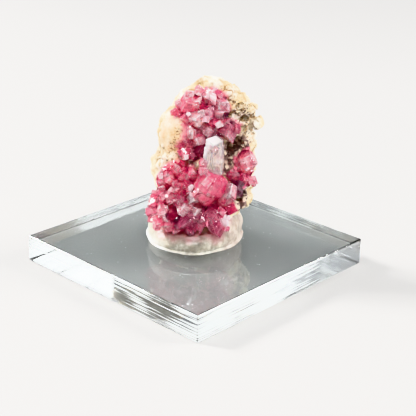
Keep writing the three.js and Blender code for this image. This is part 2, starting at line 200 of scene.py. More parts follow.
def ruggedness(point: Vector) -> float:
    """Says how far the weathered rock stands out or in.

    Args:
        point: Where.

    Returns:
        Millimetres, more than nought outwards.
    """
    x, y, z = point
    swell = math.sin(0.9 * x + 0.7 * z + 1.3) * math.sin(1.1 * y - 0.8 * z + 0.4)
    lumps = math.sin(2.1 * x - 1.3 * z) * math.sin(1.9 * y + 1.7 * z + 2.0)
    chips = math.sin(3.1 * x + 2.3 * y) * math.sin(3.4 * z - 2.1 * x + 0.7)
    return 0.24 * swell + 0.22 * lumps + 0.14 * chips


def lump(point: Vector, across: float) -> float:
    """Says how far rounded lumps of a size stand out at a point, from about -0.5 to 0.5."""
    return 0.5 - noise.voronoi(point / across)[0][0]


def push_out(bm: bmesh.types.BMesh, distance: Callable[[Vector], float]) -> None:
    """Moves each vertex along its normal.

    Args:
        bm: The mesh to change.
        distance: How far a point moves.
    """
    bm.normal_update()
    for vert, place in [(v, v.co + v.normal * distance(v.co)) for v in bm.verts]:
        vert.co = place


def boulder(at: Triple, size: Triple, grow: float = 0.0, subdivisions: int = 4) -> bmesh.types.BMesh:
    """Makes a rounded lump of weathered stone.

    Args:
        at: Its centre.
        size: Its half sizes along x, y and z.
        grow: How far its surface is pushed out all round.
        subdivisions: How fine it is.

    Returns:
        Its mesh.
    """
    bm = bmesh.new()
    place = Matrix.Translation(at) @ Matrix.Diagonal((*size, 1.0))
    bmesh.ops.create_icosphere(bm, subdivisions=subdivisions, radius=1.0, matrix=place)
    push_out(bm, lambda point: 0.5 * ruggedness(point) + grow)
    return bm


class Joining(Enum):
    """What is done with one closed mesh and others, as the boolean modifier names it."""

    JOINED = "UNION"
    CUT_BY = "DIFFERENCE"
    TRIMMED_TO = "INTERSECT"


def placed(
    name: str, bm: bmesh.types.BMesh, collection: bpy.types.Collection | None = None
) -> bpy.types.Object:
    """Makes an object of a mesh and puts it in the scene.

    Args:
        name: The object's name.
        bm: Its mesh, which is freed.
        collection: Where it goes, if not straight into the scene.

    Returns:
        The object.
    """
    mesh = bpy.data.meshes.new(name)
    bm.to_mesh(mesh)
    bm.free()
    made = bpy.data.objects.new(name, mesh)
    (collection or bpy.context.scene.collection).objects.link(made)
    return made


def combine(
    first: bmesh.types.BMesh, joining: Joining, others: list[bmesh.types.BMesh]
) -> bmesh.types.BMesh:
    """Joins, cuts or trims a closed mesh by others, and frees them all.

    Args:
        first: The mesh to start from.
        joining: What is done.
        others: The meshes to use on it.

    Returns:
        The result, whose faces keep their attributes.
    """
    tools = bpy.data.collections.new("tools")
    bpy.context.scene.collection.children.link(tools)
    parts = [placed("part", first)]
    parts += [placed("part", bm, tools) for bm in others]
    modifier = parts[0].modifiers.new("combine", "BOOLEAN")
    modifier.operation = joining.value
    modifier.operand_type = "COLLECTION"
    modifier.collection = tools
    modifier.solver = "MANIFOLD"
    return applied(parts[0], parts, tools)


def applied(
    owner: bpy.types.Object, parts: list[bpy.types.Object], tools: bpy.types.Collection | None = None
) -> bmesh.types.BMesh:
    """Takes the mesh that an object's modifiers give, and clears the scratch objects away.

    Args:
        owner: The object with the modifiers.
        parts: Every scratch object, the owner among them.
        tools: The scratch collection, if there is one.

    Returns:
        The mesh with the modifiers applied.
    """
    graph = bpy.context.evaluated_depsgraph_get()
    mesh = bpy.data.meshes.new_from_object(owner.evaluated_get(graph))
    bm = bmesh.new()
    bm.from_mesh(mesh)
    bpy.data.meshes.remove(mesh)
    for part in parts:
        bpy.data.meshes.remove(part.data)
    if tools:
        bpy.data.collections.remove(tools)
    return bm


def remeshed(bm: bmesh.types.BMesh, voxel: float) -> bmesh.types.BMesh:
    """Turns a closed mesh to even quads, which also softens the seams of a cut.

    Args:
        bm: The mesh, which is freed.
        voxel: The size of a quad.

    Returns:
        The new mesh.
    """
    solid = placed("solid", bm)
    modifier = solid.modifiers.new("voxels", "REMESH")
    modifier.mode = "VOXEL"
    modifier.voxel_size = voxel
    return applied(solid, [solid])


def keep_crisp(bm: bmesh.types.BMesh) -> None:
    """Keeps the sharper edges of a smoothed mesh crisp."""
    for edge in bm.edges:
        edge.smooth = edge.calc_face_angle(math.pi) < CRISP_FROM


def finished_piece(
    name: str, bm: bmesh.types.BMesh, materials: list[bpy.types.Material], node: str
) -> bpy.types.Object:
    """Turns a mesh into a piece that stands for a CAD node.

    Args:
        name: The piece's name.
        bm: Its mesh in metres, in the frame of the base. It is freed.
        materials: Its materials, in order.
        node: The CAD node it stands for.

    Returns:
        The new piece.
    """
    piece = placed(name, bm)
    for material in materials:
        piece.data.materials.append(material)
    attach(piece, "root")
    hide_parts(node)
    return piece


# ------------------------------------------------------------------------------------ finishes


@dataclass(frozen=True)
class PinkCalcite:
    """Cobalt-bearing calcite, as it grew. Glassy faces over colour that sinks into the crystal."""

    ior: float = 1.6  # calcite bends light by 1.49 to 1.66
    transmission: float = 0.7
    milkiness: float = 0.5  # transmission of the palest crystals
    polish: float = 0.02  # roughness of the cleanest faces
    frost: float = 0.14  # and of the etched ones
    absorbed_to: str = "#EE76A2"
    absorption: float = 115.0  # per metre, so that it deepens over several millimetres
    block_mm: float = 0.55  # across the blocks that it grew from
    salmon: Ramp = ((0.0, "#FFFCFB"), (0.25, "#FFD4DA"), (0.58, "#FF7296"), (1.0, "#D43468"))
    plum: Ramp = ((0.0, "#FCF4F8"), (0.25, "#F2CED8"), (0.58, "#CA7892"), (1.0, "#682E44"))

    def material(self, name: str) -> bpy.types.Material:
        """Builds the finish.

        Args:
            name: The material's name.

        Returns:
            The material. It reads "tone", pale to deep, "cool", salmon to plum, and "root", which is
            1 down among the crystals, where it paints shade, and 0 at their tips, where it paints light.
        """
        material, add = blank_material(name)
        place = add("TexCoord", {}).outputs["Object"]
        tone, cool, root = read_attributes(add, "tone", "cool", "root")

        # Colour gathers in clouds.
        clouds = add("TexNoise", {"Scale": every(1.1), "Detail": 4.0, "Roughness": 0.6, "Vector": place})
        drift = add("MapRange", {"From": (0.3, 0.7), "To": (-0.16, 0.16), "Value": clouds})
        clouded = add("Math", {"operation": "ADD", 0: tone, 1: drift})
        # Calcite grows as a mosaic of blocks, each with a little more or less cobalt.
        blocks = add("TexVoronoi", {"Scale": every(self.block_mm), "Vector": place})
        share = add(
            "MapRange", {"From": (0.25, 0.75), "To": (-0.12, 0.12), "Value": blocks.outputs["Color"]}
        )
        drifted = add("Math", {"operation": "ADD", 0: clouded, 1: share})
        # Painted light makes the colour paler at the tips, and painted shade makes it deepest in the
        # gaps.
        gap_shade_tip_light = add("MapRange", {"To": (-0.1, 0.36), "Value": root})
        depth = add("Math", {"operation": "ADD", "use_clamp": True, 0: drifted, 1: gap_shade_tip_light})
        salmon = add("ValToRGB", {"stops": self.salmon, "Fac": depth})
        plum = add("ValToRGB", {"stops": self.plum, "Fac": depth})
        colour = add("Mix", {"data_type": "RGBA", 0: cool, 6: salmon, 7: plum})

        # The palest crystals are full of tiny bubbles, so less goes through them.
        clear = add(
            "MapRange", {"From Max": 0.3, "To": (self.milkiness, self.transmission), "Value": depth}
        )

        # Growth steps and etching.
        etching = add(
            "TexNoise", {"Scale": every(0.38), "Detail": 3.0, "Roughness": 0.55, "Vector": place}
        )
        relief = add("Bump", {"Strength": 0.5, "Distance": 0.05 * MM, "Height": etching})
        gloss = add("MapRange", {"From": (0.35, 0.75), "To": (self.polish, self.frost), "Value": clouds})
        surface = add(
            "BsdfPrincipled",
            {
                "IOR": self.ior, "Base Color": colour, "Transmission Weight": clear, "Roughness": gloss,
                "Normal": relief,
            },
        )
        inside = add("VolumeAbsorption", {"Color": linear(self.absorbed_to), "Density": self.absorption})
        add("OutputMaterial", {"Surface": surface, "Volume": inside})
        return material


@dataclass(frozen=True)
class ClearCalcite:
    """Calcite with hardly any cobalt, as it grew. Glass-clear with milky veils, faintly lilac."""

    ior: float = 1.6
    transmission: float = 0.8
    milkiness: float = 0.3  # transmission where it is milky
    roughness: float = 0.05
    veils: Ramp = ((0.36, "#E0B6C6"), (0.47, "#FAE6EC"), (0.56, "#FFFFFF"))
    absorbed_to: str = "#F0C8D8"
    absorption: float = 40.0  # per metre

    def material(self, name: str) -> bpy.types.Material:
        """Builds the finish.

        Args:
            name: The material's name.

        Returns:
            The material. It reads "milk", which is 1 where bubbles fill the crystal and a highlight is
            painted on its top left.
        """
        material, add = blank_material(name)
        place = add("TexCoord", {}).outputs["Object"]
        (milk,) = read_attributes(add, "milk")
        clear = add("MapRange", {"To": (self.transmission, self.milkiness), "Value": milk})
        # Veils of tiny bubbles, thicker where it is milky and the highlight is painted.
        veils = add(
            "TexNoise",
            {"Scale": every(1.4), "Detail": 5.0, "Roughness": 0.6, "Distortion": 0.6, "Vector": place},
        )
        thicker = add("Math", {"operation": "MULTIPLY_ADD", 0: milk, 1: 0.2, 2: veils})
        colour = add("ValToRGB", {"stops": self.veils, "Fac": thicker})
        steps = add("TexNoise", {"Scale": every(1.0), "Detail": 2.0, "Vector": place})
        relief = add("Bump", {"Strength": 0.5, "Distance": 0.04 * MM, "Height": steps})
        surface = add(
            "BsdfPrincipled",
            {
                "IOR": self.ior, "Roughness": self.roughness, "Base Color": colour,
                "Transmission Weight": clear, "Normal": relief,
            },
        )
        inside = add("VolumeAbsorption", {"Color": linear(self.absorbed_to), "Density": self.absorption})
        add("OutputMaterial", {"Surface": surface, "Volume": inside})
        return material


@dataclass(frozen=True)
class WeatheredCarbonate:
    """Carbonate rock, naturally weathered. Chalky and sugary, with oxide caught in its hollows."""

    ior: float = 1.55
    roughness: float = 0.85
    grain_mm: float = 0.3
    clump_mm: float = 0.5
    speck_mm: float = 0.38  # from one to the next
    chalk: Ramp = ((0.3, "#CDB27C"), (0.42, "#EBD8AE"), (0.52, "#F8EFD8"), (0.66, "#FFFCF4"))
    dome: Ramp = ((0.3, "#E4B684"), (0.48, "#F6DAAE"), (0.66, "#FFF0D8"))
    oxide: Ramp = ((0.0, "#30211F"), (0.4, "#6C544E"), (0.58, "#A0867A"), (0.76, "#E8D8C0"))
    # the colour of the dust, which also paints shade in the low places
    dust: str = "#98805E"
    freckle: str = "#9C7040"
    speck: str = "#4A342C"
    dome_speck: str = "#7E5C3C"
    pink: str = "#E0708C"

    def material(self, name: str) -> bpy.types.Material:
        """Builds the finish.

        Args:
            name: The material's name.

        Returns:
            The material. It reads "dark" for oxide, "crease" for dust and painted shade in its low
            places, "peach" for the smooth dome, "speckled" for dark specks and "stain" for the pink
            round the crystals.
        """
        material, add = blank_material(name)
        place = add("TexCoord", {}).outputs["Object"]
        dark, peach, crease, speckled, stain = read_attributes(
            add, "dark", "peach", "crease", "speckled", "stain"
        )

        # Cream and tan in patches.
        patches = add("TexNoise", {"Scale": every(2.4), "Detail": 5.0, "Roughness": 0.6, "Vector": place})
        chalk = add("ValToRGB", {"stops": self.chalk, "Fac": patches})
        dome = add("ValToRGB", {"stops": self.dome, "Fac": patches})
        ground = add("Mix", {"data_type": "RGBA", 0: peach, 6: chalk, 7: dome})
        # Dust and painted shade in its low places.
        creased = add("Mix", {"data_type": "RGBA", 0: crease, 6: ground, 7: linear(self.dust)})

        # Tan specks.
        specks = add("TexNoise", {"Scale": every(0.38), "Detail": 2.0, "Vector": place})
        thicker = add("Math", {"operation": "MULTIPLY_ADD", 0: speckled, 1: 0.17, 2: specks})
        freckles = add("MapRange", {"From": (0.6, 0.72), "To Max": 0.55, "Value": thicker})
        freckled = add("Mix", {"data_type": "RGBA", 0: freckles, 6: creased, 7: linear(self.freckle)})

        # Dark specks a quarter of a millimetre across, in one cell of every few.
        cells = add("TexVoronoi", {"Scale": every(self.speck_mm), "Vector": place})
        dots = add("MapRange", {"From": (0.5, 0.32), "Value": cells})
        chosen = add("MapRange", {"From": (0.36, 0.5), "To Max": 0.9, "Value": cells.outputs["Color"]})
        dotted = add("Math", {"operation": "MULTIPLY", 0: dots, 1: chosen})
        shown = add("Math", {"operation": "MULTIPLY", 0: dotted, 1: speckled})
        speck = add(
            "Mix", {"data_type": "RGBA", 0: peach, 6: linear(self.speck), 7: linear(self.dome_speck)}
        )
        specked = add("Mix", {"data_type": "RGBA", 0: shown, 6: freckled, 7: speck})

        # Clumps of brown-black oxide in the hollows, with gold and cream ones among them.
        clumps = add("TexVoronoi", {"Scale": every(self.clump_mm), "Vector": place})
        grains = add("TexVoronoi", {"Scale": every(self.grain_mm), "Vector": place})
        oxide = add("ValToRGB", {"stops": self.oxide, "Fac": clumps.outputs["Color"]})
        hollowed = add("Mix", {"data_type": "RGBA", 0: dark, 6: specked, 7: oxide})
        stained = add("Mix", {"data_type": "RGBA", 0: stain, 6: hollowed, 7: linear(self.pink)})
        relief = add("Bump", {"Strength": 0.8, "Distance": 0.07 * MM, "Height": grains})
        surface = add(
            "BsdfPrincipled",
            {"IOR": self.ior, "Roughness": self.roughness, "Base Color": stained, "Normal": relief},
        )
        add("OutputMaterial", {"Surface": surface})
        return material


@dataclass(frozen=True)
class MineralPutty:
    """Mineral putty, pressed by hand. Milky and a little waxy, with light painted into its rim."""

    ior: float = 1.46
    roughness: float = 0.36
    milk: Ramp = ((0.34, "#7C766A"), (0.5, "#A09A8C"), (0.64, "#CBC6BA"))
    # the colour of the light painted on its rim
    bright: str = "#F4F2EC"
    # the colour of the painted shadow and pink reflection from the crystals
    pink: str = "#A2686E"

    def material(self, name: str) -> bpy.types.Material:
        """Builds the finish.

        Args:
            name: The material's name.

        Returns:
            The material. It reads "stain" for the painted pink shadow and reflection that the crystals
            throw on it and "rim" for the light painted on its thin edge.
        """
        material, add = blank_material(name)
        place = add("TexCoord", {}).outputs["Object"]
        stain, rim = read_attributes(add, "stain", "rim")
        # Patches of thicker and thinner putty.
        mottle = add("TexNoise", {"Scale": every(1.6), "Detail": 6.0, "Roughness": 0.7, "Vector": place})
        milk = add("ValToRGB", {"stops": self.milk, "Fac": mottle})
        # Painted light on its thin rim.
        rim_light_painted = add("Mix", {"data_type": "RGBA", 0: rim, 6: milk, 7: linear(self.bright)})
        colour = add("Mix", {"data_type": "RGBA", 0: stain, 6: rim_light_painted, 7: linear(self.pink)})
        creases = add(
            "TexNoise", {"Scale": every(0.83), "Detail": 5.0, "Roughness": 0.6, "Vector": place}
        )
        relief = add("Bump", {"Strength": 0.4, "Distance": 0.06 * MM, "Height": creases})
        surface = add(
            "BsdfPrincipled",
            {
                "IOR": self.ior, "Roughness": self.roughness, "Subsurface Weight": 0.7,
                "Subsurface Radius": (1.2, 1.1, 0.9), "Subsurface Scale": MM, "Base Color": colour,
                "Normal": relief,
            },
        )
        add("OutputMaterial", {"Surface": surface})
        return material


@dataclass(frozen=True)
class CastAcrylic:
    """Clear cast acrylic sheet. Its faces are as cast; its sides are sawn, then polished."""

    ior: float = 1.49
    tint: str = "#F8FCFC"

    def face(self, name: str) -> bpy.types.Material:
        """Builds the finish of the top and underside: glass-clear, with a few faint smears.

        Args:
            name: The material's name.

        Returns:
            The material.
        """
        material, add = blank_material(name)
        place = add("TexCoord", {}).outputs["Object"]
        # Smears from handling.
        smears = add("TexNoise", {"Scale": every(11.0), "Detail": 6.0, "Roughness": 0.7, "Vector": place})
        gloss = add("MapRange", {"From": (0.5, 0.8), "To": (0.01, 0.08), "Value": smears})
        # Specks of dust, a fifth of a millimetre across.
        cells = add("TexVoronoi", {"Scale": every(2.0), "Vector": place})
        dust = add("MapRange", {"From": (0.05, 0.08), "To": (0.3, 1.0), "Value": cells})
        surface = add(
            "BsdfPrincipled",
            {
                "IOR": self.ior, "Base Color": linear(self.tint), "Roughness": gloss,
                "Transmission Weight": dust,
            },
        )
        add("OutputMaterial", {"Surface": surface})
        return material

    def side(self, name: str) -> bpy.types.Material:
        """Builds the finish of the four sides, streaked level by saw and polish.

        Args:
            name: The material's name.

        Returns:
            The material.
        """
        material, add = blank_material(name)
        place = add("TexCoord", {}).outputs["Object"]
        # Fine level streaks, centimetres long.
        drawn_out = add("Mapping", {"Scale": (every(16.0), every(16.0), every(0.28)), "Vector": place})
        streaks = add("TexNoise", {"Scale": 1.0, "Detail": 4.0, "Roughness": 0.6, "Vector": drawn_out})
        relief = add("Bump", {"Strength": 0.35, "Distance": 0.03 * MM, "Height": streaks})
        gloss = add("MapRange", {"From": (0.4, 0.7), "To": (0.03, 0.3), "Value": streaks})
        # Scuffed patches, where the polishing missed the marks of the saw.
        patches = add("TexNoise", {"Scale": every(14.0), "Vector": place})
        scuffs = add("Math", {"operation": "ADD", 0: patches, 1: streaks})
        clear = add("MapRange", {"From": (1.06, 1.12), "To": (1.0, 0.3), "Value": scuffs})
        surface = add(
            "BsdfPrincipled",
            {
                "IOR": self.ior, "Base Color": linear(self.tint), "Roughness": gloss,
                "Transmission Weight": clear, "Normal": relief,
            },
        )
        add("OutputMaterial", {"Surface": surface})
        return material


@dataclass(frozen=True)
class BackdropPaper:
    """Pale backdrop paper, uncoated. Soft and even, with a faint tooth."""

    colour: str = "#9C9A98"

    def material(self, name: str) -> bpy.types.Material:
        """Builds the finish.

        Args:
            name: The material's name.

        Returns:
            The material.
        """
        material, add = blank_material(name)
        place = add("TexCoord", {}).outputs["Object"]
        # The tooth of the paper, drawn coarse enough to show.
        tooth = add("TexNoise", {"Scale": every(1.1), "Detail": 3.0, "Vector": place})
        relief = add("Bump", {"Strength": 0.1, "Distance": 0.02 * MM, "Height": tooth})
        surface = add(
            "BsdfPrincipled", {"Base Color": linear(self.colour), "Roughness": 0.7, "Normal": relief}
        )
        add("OutputMaterial", {"Surface": surface})
        return material


# ------------------------------------------------------------------------------------ crystals


# Turns a six-sided rod so that its end faces meet its sides, not its corners.
CORNERS_BETWEEN = Matrix.Rotation(math.radians(30.0), 4, "Z")


class Habit(Enum):
    """A crystal's end faces, by how steeply they fall from its tip, as rise over run."""

    FLAT = 0.5
    BLOCK = 1.0
    STEEP = 1.9
    TOOTH = 0.0


@dataclass(frozen=True)
class Crystal:
    """One calcite crystal. Its long axis runs through its centre."""

    at: Triple
    along: Triple
    girth: float
    habit: Habit
    tone: float = 0.5  # pale 0 to deep 1
    cool: float = 0.2  # salmon 0 to plum 1
    length: float = 0.0  # too short a length is made up to fit the end faces
    spin: float | None = None
    bare: bool = False  # whether small crystals keep off it
    rounding: float = 0.08  # of its edges, as a share of the girth
    stepped: bool = True  # whether its faces may carry growth steps
    wobble: float = 0.09  # how far its corners stray, as a share of the girth

    least_height = 1.5  # of slope times girth, which leaves some rod between its two ends
    rod_radius = 1.01  # of the rod it is cut from, as a share of the girth
    rod_spare = 1.1  # how much longer the rod is at first
    fine_girth = 0.6  # from this girth up, edges are rounded finely
    step_girth = 0.8  # and from this one, faces may carry a growth step
    step_face = 0.5  # the least face that does, as a share of the largest
    step_chance = 0.5
    step_size = (0.55, 0.85)  # as a share of the crystal
    step_rise = (0.03, 0.06)  # as a share of the girth
    step_aside = 0.2
    edge_face = 0.1  # a face under this share of the largest rounds an edge
    tooth_zigzag = 0.07  # of the length
    reach = 1.15  # of its corners and a little room, as a share of the girth
    seed_stride = 7919  # from the seed of one crystal of a group to the next
    sector_contrast = 0.1  # how far each face's tone may stray
    edge_highlight_paint = 0.18  # how much paler the rounded edges are painted, a painted highlight

    # The small crystal that crowds the foot of a thick one, as shares of the thick one's sizes.
    brood_from = 1.2  # the least girth that has one
    brood_reach = (0.75, 1.2)
    brood_girth = (0.38, 0.6)
    brood_slide = 0.3
    brood_splay = 0.9  # how far its axis leans off
    brood_blocks = 0.6  # how many are blocks
    brood_pallor = 0.08

    def axis(self) -> Vector:
        """Gives the direction of the long axis."""
        return Vector(self.along).normalized()

    def height(self) -> float:
        """Gives the length, made up to what the end faces need."""
        return max(self.length, self.least_height * self.habit.value * self.girth)

    def own_numbers(self, which: int) -> random.Random:
        """Gives one of its own rows of random numbers, which depend on its place alone."""
        return random.Random(int(abs(sum(self.at)) * 1000) + which)

    def holds(self, point: Vector) -> bool:
        """Says whether a point lies in the crystal.

        Args:
            point: Where.

        Returns:
            Whether it does, its faces and a little room beside them counted in.
        """
        out = point - Vector(self.at)
        half = self.height() / 2
        along = min(max(out.dot(self.axis()), -half), half)
        return (out - self.axis() * along).length < self.reach * self.girth

    def family(self, index: int) -> list["Crystal"]:
        """Gives the crystal and, if it is thick, a small one that crowds its side.

        Args:
            index: Its place in its group.

        Returns:
            One or two crystals.
        """
        drawn = seeded(self.seed_stride * (index + 1))
        grown = self if self.spin is not None else replace(self, spin=drawn() * 2)
        if self.girth < self.brood_from:
            return [grown]

        def between(limits: tuple[float, float]) -> float:
            """Draws a number between two limits."""
            return limits[0] + (limits[1] - limits[0]) * drawn()

        axis = self.axis()
        scatter = Vector([drawn() * 2 - 1 for _ in range(3)])
        offset = (scatter - axis * scatter.dot(axis)).normalized()
        offset *= self.girth * between(self.brood_reach)
        offset += axis * self.length * self.brood_slide * (drawn() * 2 - 1)
        small = Crystal(
            at=tuple(Vector(self.at) + offset),
            along=tuple(axis + self.brood_splay * scatter),
            girth=self.girth * between(self.brood_girth),
            habit=Habit.BLOCK if drawn() < self.brood_blocks else Habit.STEEP,
            tone=self.tone - self.brood_pallor,
            cool=self.cool,
            spin=drawn() * 2,
        )
        return [grown, small]

    def rhombic(self) -> bmesh.types.BMesh:
        """Cuts a six-sided rod to three faces at each end.

        Returns:
            The upright crystal, with sharp edges.
        """
        slope = self.habit.value
        height = self.height()
        bm = bmesh.new()
        bmesh.ops.create_cone(
            bm,
            cap_ends=True,
            segments=6,
            radius1=self.girth * self.rod_radius,
            radius2=self.girth * self.rod_radius,
            depth=height * self.rod_spare,
            matrix=CORNERS_BETWEEN,
        )
        for end in (1, -1):
            for corner in range(3):
                angle = math.radians(120.0 * corner + (0.0 if end > 0 else 60.0))
                cut = bmesh.ops.bisect_plane(
                    bm,
                    geom=bm.verts[:] + bm.edges[:] + bm.faces[:],
                    plane_co=(0.0, 0.0, end * height / 2),
                    plane_no=(slope * math.cos(angle), slope * math.sin(angle), end),
                    clear_outer=True,
                )
                rim = [part for part in cut["geom_cut"] if isinstance(part, bmesh.types.BMEdge)]
                bmesh.ops.holes_fill(bm, edges=rim, sides=0)
        return bm

    def toothed(self) -> bmesh.types.BMesh:
        """Draws a zigzag ring of six out to two points.

        Returns:
            The upright dogtooth, with sharp edges.
        """
        bm = bmesh.new()
        ring = bmesh.ops.create_circle(bm, segments=6, radius=self.girth, matrix=CORNERS_BETWEEN)["verts"]
        waist = bm.edges[:]
        for corner, vert in enumerate(ring):
            vert.co.z = self.tooth_zigzag * self.length * (1 if corner % 2 == 0 else -1)
        for end in (1, -1):
            drawn_up = bmesh.ops.extrude_edge_only(bm, edges=waist)["geom"]
            tip = [part for part in drawn_up if isinstance(part, bmesh.types.BMVert)]
            bmesh.ops.pointmerge(bm, verts=tip, merge_co=(0.0, 0.0, end * self.length / 2))
        bmesh.ops.recalc_face_normals(bm, faces=bm.faces[:])
        return bm

    @staticmethod
    def faces_in_order(sharp: bmesh.types.BMesh) -> list[bmesh.types.BMFace]:
        """Lists a mesh's faces in the same order in every run."""
        return sorted(sharp.faces, key=lambda face: fixed_order(face.calc_center_median()))

    def rounded(self, sharp: bmesh.types.BMesh) -> bmesh.types.BMesh:
        """Rounds a sharp crystal: a small ball sits in each corner, and a hull wraps them all.

        Args:
            sharp: The upright crystal.

        Returns:
            The rounded crystal, with a tone on each face.
        """
        radius = self.rounding * self.girth
        drawn = self.own_numbers(2)
        sharp.normal_update()
        balls = bmesh.new()
        for vert in sorted(sharp.verts, key=lambda vert: fixed_order(vert.co)):
            centre = vert.co - vert.normal * vert.calc_shell_factor() * radius
            centre += Vector([drawn.uniform(-1.0, 1.0) for _ in range(3)]) * self.wobble * self.girth
            bmesh.ops.create_icosphere(
                balls,
                subdivisions=2 if self.girth > self.fine_girth else 1,
                radius=radius,
                matrix=Matrix.Translation(centre),
            )
        bm = bmesh.new()
        for vert in balls.verts:
            bm.verts.new(vert.co)
        balls.free()
        wrapped = bmesh.ops.convex_hull(bm, input=bm.verts[:])
        inner = {part for part in wrapped["geom_interior"] if isinstance(part, bmesh.types.BMVert)}
        bmesh.ops.delete(bm, geom=list(inner), context="VERTS")
        bmesh.ops.dissolve_limit(bm, angle_limit=FLAT_WITHIN, verts=bm.verts[:], edges=bm.edges[:])
        self.colour_faces(bm, sharp)
        return bm

    def colour_faces(self, bm: bmesh.types.BMesh, sharp: bmesh.types.BMesh) -> None:
        """Tones each face as the sharp face that it comes from.

        The narrow ones, which round its edges, are smooth and painted paler as a highlight.

        Args:
            bm: The rounded crystal.
            sharp: The sharp one.
        """
        drawn = self.own_numbers(0)
        sectors = [
            (face.normal.copy(), self.tone + self.sector_contrast * drawn.uniform(-1.0, 1.0))
            for face in self.faces_in_order(sharp)
        ]
        tone, cool = (bm.faces.layers.float.new(name) for name in ("tone", "cool"))
        bm.normal_update()
        broad = self.edge_face * max(face.calc_area() for face in bm.faces)
        for face in bm.faces:
            face[tone] = max(sectors, key=lambda sector: sector[0].dot(face.normal))[1]
            face[cool] = self.cool
            face.smooth = face.calc_area() < broad
            # Painted highlight: the rounded edges are painted paler.
            if face.smooth:
                face[tone] = max(face[tone] - self.edge_highlight_paint, 0.0)

    def meshes(self) -> list[bmesh.types.BMesh]:
        """Builds the crystal in its place, and the growth steps on its faces.

        Returns:
            Closed meshes that overlap.
        """
        sharp = self.toothed() if self.habit is Habit.TOOTH else self.rhombic()
        whole = self.rounded(sharp)
        drawn = self.own_numbers(1)
        turn = UP.rotation_difference(self.axis()) @ Quaternion(UP, self.spin or 0.0)
        place = Matrix.Translation(self.at) @ turn.to_matrix().to_4x4()
        made = [whole]
        largest = max(face.calc_area() for face in sharp.faces)
        for face in self.faces_in_order(sharp):
            if not self.stepped or self.girth < self.step_girth:
                break
            if face.calc_area() < self.step_face * largest or drawn.random() > self.step_chance:
                continue
            share = drawn.uniform(*self.step_size)
            out = face.normal.dot(face.calc_center_median()) * (1.0 - share)
            out += self.girth * drawn.uniform(*self.step_rise)
            aside = face.normal.orthogonal() * self.girth
            aside *= drawn.uniform(-self.step_aside, self.step_aside)
            step = whole.copy()
            step.transform(Matrix.Translation(face.normal * out + aside) @ Matrix.Scale(share, 4))
            made.append(step)
        sharp.free()
        for bm in made:
            bm.transform(place)
        return made


FLAT, BLOCK, STEEP, TOOTH = Habit.FLAT, Habit.BLOCK, Habit.STEEP, Habit.TOOTH

# What the two halves of the great crystal share.
GREAT = Crystal(
    at=(0.0, 0.0, 0.0),
    along=(0.0, 0.0, 1.0),
    girth=2.0,
    habit=BLOCK,
    tone=0.66,
    cool=0.0,
    length=3.8,
    bare=True,
    rounding=0.24,
    stepped=False,
    wobble=0.05,
)

UPPER_CRYSTALS = [
    Crystal((-1.3, -1.8, 22.9), (-0.2, -0.75, 0.45), 1.9, BLOCK, 0.5, 0.14, bare=True),
    Crystal((-1.4, -1.3, 24.2), (-0.5, -0.3, 0.8), 1.2, BLOCK, 0.29, 0.37, bare=True),
    Crystal((-2.9, -1.2, 22.7), (-0.8, -0.4, 0.2), 1.0, BLOCK, 0.3, 0.32),
    Crystal((0.2, -1.3, 24.7), (-0.1, -0.4, 0.9), 0.9, STEEP, 0.25, 0.52),
    Crystal((1.6, -1.2, 24.4), (0.2, -0.55, 0.85), 1.35, BLOCK, 0.06, 0.9, bare=True),
    Crystal((3.2, -1.1, 24.3), (0.5, -0.2, 0.8), 1.0, BLOCK, 0.42, 0.32, bare=True),
    Crystal((3.8, -1.8, 22.9), (0.62, -0.5, -0.55), 1.05, STEEP, 0.15, 0.62, 3.4, bare=True),
    Crystal((2.3, -2.1, 23.9), (0.3, -0.3, -0.9), 0.6, STEEP, 0.08, 0.22, 2.2),
    Crystal((-0.1, -2.8, 20.9), (-0.1, -0.9, 0.3), 1.35, BLOCK, 0.3, 0.42, 2.6, bare=True),
    Crystal((-1.9, -2.4, 20.8), (-0.5, -0.8, 0.2), 1.0, BLOCK, 0.3, 0.32, bare=True),
    Crystal((1.5, -2.5, 21.8), (0.1, -0.8, 0.6), 1.35, BLOCK, 0.52, 0.9, 2.4, bare=True),
    Crystal((3.1, -2.3, 21.6), (0.6, -0.7, 0.3), 1.05, STEEP, 0.35, 0.9, bare=True),
    Crystal((2.3, -2.8, 20.5), (0.0, -0.95, 0.1), 1.0, BLOCK, 0.67, 0.17),
    # painted glint: a crystal coloured near white where a highlight shows
    Crystal((3.3, -2.9, 20.2), (0.25, -0.6, 0.75), 0.85, BLOCK, 0.06, 0.22, bare=True),
    Crystal((4.7, -2.5, 18.9), (0.45, -0.35, -0.8), 1.45, STEEP, 0.5, 0.82, 4.0, bare=True),
    Crystal((6.1, -2.2, 19.2), (0.8, -0.4, 0.1), 0.9, BLOCK, 0.35, 0.62, bare=True),
    Crystal((1.6, -2.9, 19.2), (0.1, -0.8, 0.6), 1.2, BLOCK, 0.27, 0.72, bare=True),
    Crystal((-0.8, -2.9, 18.6), (-0.5, -0.5, 0.7), 0.9, STEEP, 0.25, 0.27, 3.0, bare=True),
    Crystal((0.2, -2.9, 17.6), (0.1, -0.8, -0.5), 1.15, BLOCK, 0.38, 0.42, 2.4, bare=True),
    Crystal((-3.4, -1.6, 21.5), (-0.7, -0.6, 0.2), 0.85, BLOCK, 0.26, 0.32),
    Crystal((0.4, -2.4, 15.7), (0.3, -0.5, 0.8), 1.15, STEEP, 0.8, 0.72, 3.8, bare=True),
    Crystal((-1.7, -2.8, 15.5), (-0.5, -0.6, 0.6), 1.15, BLOCK, 0.35, 0.27, 2.2),
    # painted glint: a small white crystal set where a highlight shows
    Crystal((-1.4, -3.3, 21.8), (-0.2, -0.8, 0.5), 0.38, BLOCK, 0.0, 0.32),
    # painted highlight: a thin white crystal set where a streak of highlight shows
    Crystal((-0.95, -3.65, 18.8), (0.05, -0.2, 1.0), 0.4, STEEP, 0.0, 0.2, 2.4),
]

